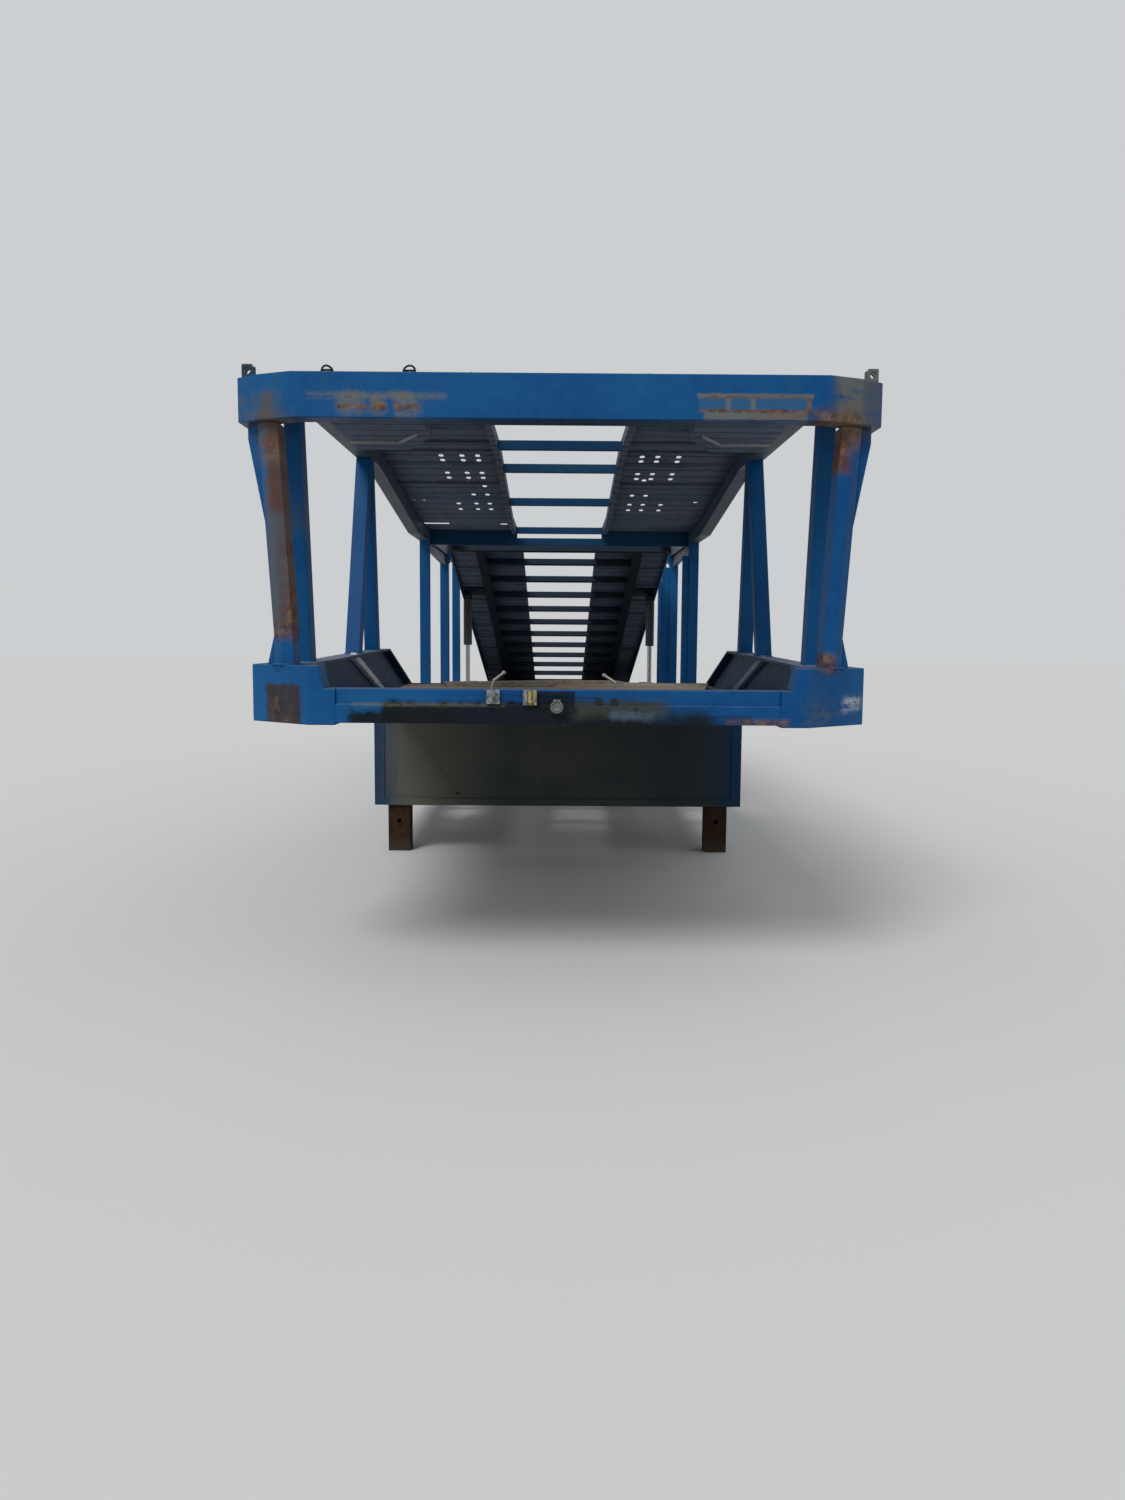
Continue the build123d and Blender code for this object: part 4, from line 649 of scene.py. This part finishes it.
def bevelEdges(shape, edges, width):
    return bmesh.ops.bevel(
        shape,
        geom=edges,
        offset=width,
        offset_type="OFFSET",
        affect="EDGES",
        segments=2,
        profile=0.5,
        material=-1,
    )


def addBox(shape, low, high, edge, turn=None):
    made = bmesh.ops.create_cube(shape, size=1)["verts"]
    size = [b - a for a, b in zip(low, high)]
    middle = Vector((a + b) / 2 for a, b in zip(low, high))
    bmesh.ops.scale(shape, vec=size, verts=made)
    grown = bevelEdges(shape, list({line for vert in made for line in vert.link_edges}), edge)
    verts = list({vert for face in grown["faces"] for vert in face.verts} | {v for v in made if v.is_valid})
    if turn is not None:
        bmesh.ops.rotate(shape, verts=verts, cent=(0, 0, 0), matrix=turn)
    bmesh.ops.translate(shape, verts=verts, vec=middle)


# The rims of a rod are the edges that bend by more than rimAngle, in radians
rimAngle = 1.2


def addRod(shape, start, end, radius, corners=16, edge=0.0):
    start, end = Vector(start), Vector(end)
    run = end - start
    made = bmesh.ops.create_cone(
        shape, cap_ends=True, segments=corners, radius1=radius, radius2=radius, depth=run.length
    )["verts"]
    bmesh.ops.rotate(shape, verts=made, cent=(0, 0, 0), matrix=run.to_track_quat("Z", "Y").to_matrix())
    bmesh.ops.translate(shape, verts=made, vec=(start + end) / 2)
    if edge:
        rims = {line for vert in made for line in vert.link_edges if len(line.link_faces) == 2}
        bevelEdges(shape, [line for line in rims if line.calc_face_angle(0) > rimAngle], edge)


def addRing(shape, corners, centre, axis, steps):
    verts = [shape.verts.new(corner) for corner in corners]
    edges = [shape.edges.new(pair) for pair in zip(verts, verts[1:] + verts[:1])]
    before = set(shape.faces)
    bmesh.ops.spin(
        shape, geom=verts + edges, cent=centre, axis=axis, angle=2 * math.pi, steps=steps, use_merge=True
    )
    ring = [face for face in shape.faces if face not in before]
    bmesh.ops.recalc_face_normals(shape, faces=ring)
    return ring


def addBand(shape, centre, axis, radius, width, thick, steps=48):
    centre, axis, outward = Vector(centre), Vector(axis), Vector((0, 0, 1))
    section = ((0.0, -width / 2), (thick, -width / 2), (thick, width / 2), (0.0, width / 2))
    corners = [centre + outward * (radius + rise) + axis * off for rise, off in section]
    addRing(shape, corners, centre, axis, steps)


# Tyres: half section as (radius, offset), tread with three ring grooves, notches on the shoulder
tyre = {
    "outer": 1.1655,
    "twin": 0.240,
    "steps": 96,
    "shoulderRadius": 0.376,
    "shoulderOffset": 0.056,
    "notchEvery": 3,
    "notchDeep": 0.008,
    "section": (
        (0.2242, 0.082), (0.2330, 0.094), (0.2600, 0.1015), (0.3000, 0.1050), (0.3350, 0.1020),
        (0.3600, 0.0950), (0.3740, 0.0880), (0.3800, 0.0780), (0.3820, 0.0580), (0.3720, 0.0560),
        (0.3720, 0.0480), (0.3828, 0.0460), (0.3834, 0.0060), (0.3730, 0.0040),
    ),
}


def addTyre(shape, x, s):
    half = list(tyre["section"])
    centre = Vector((x, along(s), axles["high"]))
    points = half + [(r, -off) for r, off in reversed(half)]
    corners = [centre + Vector((off, 0, r)) for r, off in points]
    ring = addRing(shape, corners, centre, (1, 0, 0), tyre["steps"])
    step = 2 * math.pi / tyre["steps"]
    notches = []
    for face in ring:
        away = face.calc_center_median() - centre
        if math.hypot(away.y, away.z) > tyre["shoulderRadius"] and abs(away.x) > tyre["shoulderOffset"]:
            number = int((math.atan2(away.z, away.y) % (2 * math.pi)) / step)
            if number % tyre["notchEvery"] == 0:
                notches.append(face)
    sunk = bmesh.ops.extrude_face_region(shape, geom=notches)["geom"]
    for vert in (part for part in sunk if isinstance(part, bmesh.types.BMVert)):
        away = vert.co - centre
        vert.co -= Vector((0, away.y, away.z)).normalized() * tyre["notchDeep"]
    bmesh.ops.delete(shape, geom=notches, context="FACES")


def makeTyres():
    for number, s in enumerate(axles["places"], start=1):
        for sideName, side in sides:
            shape = bmesh.new()
            for shift in (0, tyre["twin"]):
                addTyre(shape, side * (tyre["outer"] - shift), s)
            name = f"wheels_{number}_{sideName}"
            made = addPiece(f"roadTyres_{number}_{sideName}", shape, materials["tyre"], name, 40)
            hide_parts(f"tyres_{number}_{sideName}")


makeTyres()
print("tyres made")

# Fittings of a wheel: number on the circle, radius and start angle of the circle, the face they stand on,
# and the rods of each as (radius, height, corners)
wheelFittings = (
    {
        "count": 10,
        "circle": 0.1125,
        "start": math.pi / 10,
        "face": 1.0595,
        "rods": ((0.0198, 0.004, 16), (0.0165, 0.020, 6), (0.0105, 0.034, 10)),
    },
    {"count": 6, "circle": 0.050, "start": 0.0, "face": 1.1625, "rods": ((0.008, 0.008, 6),)},
    {"count": 1, "circle": 0.185, "start": 0.9, "face": 1.0595, "rods": ((0.005, 0.040, 10),)},
)


def addFittings(shape, side, s, fitting):
    face = side * fitting["face"]
    for number in range(fitting["count"]):
        turn = fitting["start"] + 2 * math.pi * number / fitting["count"]
        y = along(s) + fitting["circle"] * math.cos(turn)
        z = axles["high"] + fitting["circle"] * math.sin(turn)
        for radius, high, corners in fitting["rods"]:
            addRod(shape, (face, y, z), (face + side * high, y, z), radius, corners)


def makeWheelTrim():
    for number, s in enumerate(axles["places"], start=1):
        for sideName, side in sides:
            shape = bmesh.new()
            for fitting in wheelFittings:
                addFittings(shape, side, s, fitting)
            name = f"wheels_{number}_{sideName}"
            addPiece(f"wheelNuts_{number}_{sideName}", shape, extraMaterials["zinc"], name)


makeWheelTrim()
print("wheel nuts made")

# Boards left lying on the neck floor: centre x, s, length, width, thickness, turn in degrees, lift
boards = {
    "floor": 1.136,
    "gap": 0.001,
    "sag": 0.004,
    "waves": (5, 3),
    "cells": 10,
    "table": (
        (-0.28, 1.55, 1.22, 2.10, 0.012, 3, 0.0),
        (0.42, 2.20, 0.90, 1.30, 0.012, -9, 0.012),
        (-0.15, 2.45, 1.10, 0.14, 0.030, 14, 0.012),
        (0.30, 1.20, 0.62, 0.10, 0.022, -34, 0.012),
    ),
}


def addBoard(shape, x, s, long, wide, thick, turn, lift, phase):
    cells, (waveX, waveY) = boards["cells"], boards["waves"]
    made = bmesh.ops.create_grid(shape, x_segments=cells, y_segments=cells, size=0.5)["verts"]
    bmesh.ops.scale(shape, vec=(long, wide, 1), verts=made)
    for vert in made:
        swell = math.sin(vert.co.x * waveX + phase) * math.cos(vert.co.y * waveY + phase)
        vert.co.z += boards["sag"] * (1 + swell)
    bmesh.ops.rotate(shape, verts=made, cent=(0, 0, 0), matrix=Matrix.Rotation(math.radians(turn), 3, "Z"))
    bmesh.ops.translate(shape, verts=made, vec=(x, along(s), boards["floor"] + lift + thick + boards["gap"]))
    faces = list({face for vert in made for face in vert.link_faces})
    under = bmesh.ops.extrude_face_region(shape, geom=faces)["geom"]
    lower = [part for part in under if isinstance(part, bmesh.types.BMVert)]
    bmesh.ops.translate(shape, verts=lower, vec=(0, 0, -thick))
    bmesh.ops.recalc_face_normals(shape, faces=list({f for v in made + lower for f in v.link_faces}))


def makeBoards():
    rand = random.Random(7)
    shape = bmesh.new()
    for row in boards["table"]:
        addBoard(shape, *row, rand.uniform(0, 6))
    addPiece("looseBoards", shape, extraMaterials["looseBoard"], "frame")


makeBoards()
print("boards laid")

# Welded beads round the feet and heads of the posts: x range, s range, height
seams = {
    "radius": 0.0045,
    "corners": 8,
    "smooth": 60,
    "rings": (
        ((1.073, 1.160), (0.090, 0.210), 1.3375),
        ((1.098, 1.168), (0.545, 0.643), 1.3380),
        ((1.075, 1.155), (1.627, 1.717), 1.3575),
        ((1.075, 1.155), (2.240, 2.330), 1.3680),
        ((1.075, 1.155), (4.945, 5.025), 0.5010),
        ((1.075, 1.155), (6.560, 6.660), 0.5010),
    ),
}


def makeSeams():
    shape = bmesh.new()
    for (x0, x1), (s0, s1), z in seams["rings"]:
        for _, side in sides:
            corners = [(x0, s0), (x1, s0), (x1, s1), (x0, s1)]
            for (xa, sa), (xb, sb) in zip(corners, corners[1:] + corners[:1]):
                start, end = (side * xa, along(sa), z), (side * xb, along(sb), z)
                addRod(shape, start, end, seams["radius"], seams["corners"])
    addPiece("postSeams", shape, materials["blue_paint"], "frame", seams["smooth"])


makeSeams()
print("seams welded")

# Rear lamp lenses: offset from the lamp's middle, half width, finish; side markers: s, height
lamps = {
    "middle": 0.900,
    "face": 13.584,
    "sunk": 0.004,
    "proud": 0.006,
    "high": 0.315,
    "half": 0.033,
    "edge": 0.004,
    "lenses": ((-0.108, 0.046, "amber"), (0.0, 0.050, "lamp_red"), (0.108, 0.046, "clear")),
    "markers": ((3.6, 0.40), (5.2, 0.40), (6.9, 0.40), (11.2, 0.52), (12.9, 0.43)),
    "markerFaces": (1.236, 1.250),
    "markerHalf": (0.045, 0.018),
}


def makeLamps():
    face, high, half, edge = (lamps[key] for key in ("face", "high", "half", "edge"))
    for sideName, side in sides:
        for offset, wide, finish in lamps["lenses"]:
            shape = bmesh.new()
            x = side * (lamps["middle"] + offset)
            low = (x - wide, along(face) - lamps["sunk"], high - half)
            addBox(shape, low, (x + wide, along(face) + lamps["proud"], high + half), edge)
            material = materials.get(finish) or extraMaterials[finish]
            addPiece(f"lens_{finish}_{sideName}", shape, material, "frame")
    shape = bmesh.new()
    halfLong, halfHigh = lamps["markerHalf"]
    for s, z in lamps["markers"]:
        for _, side in sides:
            x0, x1 = sorted(side * x for x in lamps["markerFaces"])
            low = (x0, along(s) - halfLong, z - halfHigh)
            addBox(shape, low, (x1, along(s) + halfLong, z + halfHigh), edge)
    addPiece("sideMarkers", shape, extraMaterials["amber"], "frame")


makeLamps()
print("lamps made")

# Bent handles that stand on the front beam: x, s, lean and rise; the knee takes a share of the lean
handles = {
    "radius": 0.006,
    "corners": 12,
    "foot": 1.240,
    "bend": 1.246,
    "kneeShare": 0.2,
    "tipRise": 1.9,
    "tipBack": 0.02,
    "tipBall": 1.5,
    "kneeBall": 1.05,
    "table": ((-0.272, 0.075, 0.050, 0.034), (0.240, 0.070, -0.055, 0.030)),
}


def makeHandles():
    shape = bmesh.new()
    radius, corners = handles["radius"], handles["corners"]
    for x, s, lean, rise in handles["table"]:
        foot = (x, along(s), handles["foot"])
        knee = (x + lean * handles["kneeShare"], along(s), handles["bend"] + rise)
        tip = (x + lean, along(s) + handles["tipBack"], handles["bend"] + rise * handles["tipRise"])
        addRod(shape, foot, knee, radius, corners)
        addRod(shape, knee, tip, radius, corners)
        for place, key in ((tip, "tipBall"), (knee, "kneeBall")):
            spot = Matrix.Translation(place)
            bmesh.ops.create_icosphere(shape, subdivisions=2, radius=radius * handles[key], matrix=spot)
    addPiece("beamHandles", shape, extraMaterials["zinc"], "frame")


makeHandles()
print("handles made")

# Lips under the front pans of the upper runways, pale as painted highlights on their edges: corner points (x,
# s) of each run
lips = {
    "top": 2.4443,
    "low": 2.4290,
    "thick": 0.004,
    "edge": 0.0008,
    "runs": (
        ((1.070, 0.800), (0.820, 0.800)),
        ((1.070, 1.390), (0.820, 1.390), (0.700, 1.156)),
    ),
}


def makeLips():
    shape = bmesh.new()
    top, low, thick = lips["top"], lips["low"], lips["thick"]
    for _, side in sides:
        for run in lips["runs"]:
            for (xa, sa), (xb, sb) in zip(run, run[1:]):
                start, end = Vector((side * xa, along(sa), 0)), Vector((side * xb, along(sb), 0))
                turn = Matrix.Rotation(math.atan2(end.y - start.y, end.x - start.x), 3, "Z")
                middle = (start + end) / 2 + Vector((0, 0, (top + low) / 2))
                half = Vector(((end - start).length / 2, thick / 2, (top - low) / 2))
                addBox(shape, middle - half, middle + half, lips["edge"], turn)
    addPiece("panLipHighlights", shape, extraMaterials["lip"], "frame")


makeLips()
print("lips made")

# Wire rings that stand on the top beam: x, s, radius, lean
tieRings = {
    "foot": 2.486,
    "wire": 0.0042,
    "corners": 10,
    "steps": 10,
    "table": ((-0.592, 0.050, 0.023, 0.10), (-0.912, 0.050, 0.021, -0.25)),
}


def makeTieRings():
    shape = bmesh.new()
    for x, s, radius, lean in tieRings["table"]:
        points = []
        for step in range(tieRings["steps"] + 1):
            turn = math.pi * step / tieRings["steps"]
            reach = Vector((-radius * math.cos(turn), 0, radius * math.sin(turn)))
            points.append(Vector((x + lean * reach.z, along(s), tieRings["foot"])) + reach)
        for start, end in zip(points, points[1:]):
            addRod(shape, start, end, tieRings["wire"], tieRings["corners"])
    addPiece("tieRings", shape, extraMaterials["rubber"], "frame")


makeTieRings()
print("rings made")

# Flat bars along the braces inside the neck sides, pale as painted sunlight on the left and paler blue as
# painted weaker light on the right: middle, half sizes, fall in degrees
brace = {
    "x": 1.090,
    "s": 2.0125,
    "high": 1.231,
    "half": (0.016, 0.505, 0.018),
    "edge": 0.003,
    "fall": -13.32,
}


def makeBraces():
    turn = Matrix.Rotation(math.radians(brace["fall"]), 3, "X")
    for (sideName, side), finish in zip(sides, ("braceSunlit", "braceHalfLit")):
        shape = bmesh.new()
        middle = Vector((side * brace["x"], along(brace["s"]), brace["high"]))
        half = Vector(brace["half"])
        addBox(shape, middle - half, middle + half, brace["edge"], turn)
        addPiece(f"neckBrace_{sideName}", shape, extraMaterials[finish], "frame")


makeBraces()
print("braces made")

# Steel angle that closes the rear edge of the neck floor onto the bulkhead
floorEdge = {
    "half": 1.003,
    "back": 3.0858,
    "thick": 0.004,
    "top": 1.1405,
    "low": 1.101,
    "leg": 0.055,
    "edge": 0.0008,
    "shorter": 0.001,
    "sunk": 0.0004,
}


def makeFloorEdge():
    shape = bmesh.new()
    half, back, thick, top, edge = (floorEdge[key] for key in ("half", "back", "thick", "top", "edge"))
    addBox(shape, (-half, along(back - thick), floorEdge["low"]), (half, along(back), top), edge)
    halfFlat = half - floorEdge["shorter"]
    low = (-halfFlat, along(back - floorEdge["leg"]), top - thick)
    addBox(shape, low, (halfFlat, along(back - thick / 2), top - floorEdge["sunk"]), edge)
    addPiece("floorEdgeAngle", shape, materials["dark_paint"], "frame")


makeFloorEdge()
print("floor edge made")

# Rubber grommets in the two cable holes of the front beam: places (x, z), and how far behind the face
# each part starts and ends
grommets = {
    "places": ((0.163, 1.200), (0.223, 1.200)),
    "face": 0.012,
    "corners": 32,
    "plug": {"radius": 0.0118, "start": 0.004, "end": 0.001},
    "rim": {"radius": 0.0088, "width": 0.004, "thick": 0.0062},
    "collar": {"radius": 0.0140, "start": 0.001, "end": -0.001, "edge": 0.0008},
}


def makeGrommets():
    shape = bmesh.new()
    face, corners = along(grommets["face"]), grommets["corners"]
    plug, rim, collar = (grommets[key] for key in ("plug", "rim", "collar"))
    for x, z in grommets["places"]:
        start, end = (x, face + plug["start"], z), (x, face + plug["end"], z)
        addRod(shape, start, end, plug["radius"], corners)
        middle = (x, face - rim["width"] / 2, z)
        addBand(shape, middle, (0, 1, 0), rim["radius"], rim["width"], rim["thick"], corners)
        start, end = (x, face + collar["start"], z), (x, face + collar["end"], z)
        addRod(shape, start, end, collar["radius"], corners, collar["edge"])
    addPiece("cableGrommets", shape, extraMaterials["rubber"], "frame")


makeGrommets()
print("grommets made")

# Straps round the air tank, clamp rings round the brake chambers and the ports behind those
tank = {"s": 9.602, "high": 0.597, "radius": 0.100, "straps": (-0.26, 0.26), "width": 0.030, "thick": 0.0025}
chamber = {
    "x": 0.330,
    "ahead": 0.165,
    "rise": 0.030,
    "radius": 0.0705,
    "width": 0.018,
    "thick": 0.004,
    "portRadius": 0.016,
    "port": (0.065, 0.100),
}


def makeFittings():
    shape = bmesh.new()
    for x in tank["straps"]:
        centre = (x, along(tank["s"]), tank["high"])
        addBand(shape, centre, (1, 0, 0), tank["radius"], tank["width"], tank["thick"])
    for s in axles["places"]:
        for _, side in sides:
            high = axles["high"] + chamber["rise"]
            centre = Vector((side * chamber["x"], along(s - chamber["ahead"]), high))
            addBand(shape, centre, (0, 1, 0), chamber["radius"], chamber["width"], chamber["thick"])
            start, end = (centre + Vector((0, reach, 0)) for reach in chamber["port"])
            addRod(shape, start, end, chamber["portRadius"])
    addPiece("tankStrapsAndClamps", shape, extraMaterials["zinc"], "frame")


makeFittings()

# Washers on the hinge pins and on the pins at the cylinders' feet: s, height, ends of the pin, radius
washers = {
    "thick": 0.004,
    "edge": 0.001,
    "corners": 24,
    "pins": ((5.200, 2.315, (0.845, 0.965), 0.030), (6.971, 0.580, (0.862, 0.948), 0.026)),
}


def makeWashers():
    shape = bmesh.new()
    for s, high, ends, radius in washers["pins"]:
        for _, side in sides:
            for x, outward in zip(ends, (-1, 1)):
                start = (side * x, along(s), high)
                end = (side * (x + outward * washers["thick"]), along(s), high)
                addRod(shape, start, end, radius, washers["corners"], washers["edge"])
    addPiece("pinWashers", shape, extraMaterials["zinc"], "frame")


makeWashers()
print("small fittings made")

# Pale floor just under the tyres, even sky and one soft sun, its turn in degrees
studio = {
    "floor": 60,
    "floorHigh": -0.002,
    "floorTone": (0.62, 0.62, 0.61),
    "sky": (0.84, 0.86, 0.88),
    "skyLevel": 0.72,
    "sun": 1.6,
    "soft": 24,
    "sunTurn": (38, -22, 0),
}


def makeStudio():
    shape = bmesh.new()
    bmesh.ops.create_grid(shape, x_segments=1, y_segments=1, size=studio["floor"])
    mesh = bpy.data.meshes.new("floor")
    shape.to_mesh(mesh)
    shape.free()
    floor = bpy.data.objects.new("floor", mesh)
    bpy.context.scene.collection.objects.link(floor)
    floor.location.z = studio["floorHigh"]
    mesh.materials.append(Shader("paleFloor").finish(studio["floorTone"], 0.9))
    world = bpy.data.worlds.new("studioSky")
    world.use_nodes = True
    background = world.node_tree.nodes["Background"]
    background.inputs["Color"].default_value = (*studio["sky"], 1)
    background.inputs["Strength"].default_value = studio["skyLevel"]
    bpy.context.scene.world = world
    light = bpy.data.lights.new("softSun", "SUN")
    light.energy = studio["sun"]
    light.angle = math.radians(studio["soft"])
    sun = bpy.data.objects.new("softSun", light)
    bpy.context.scene.collection.objects.link(sun)
    sun.rotation_euler = [math.radians(angle) for angle in studio["sunTurn"]]


makeStudio()
bpy.context.scene.view_settings.view_transform = "Standard"
print("studio lit")
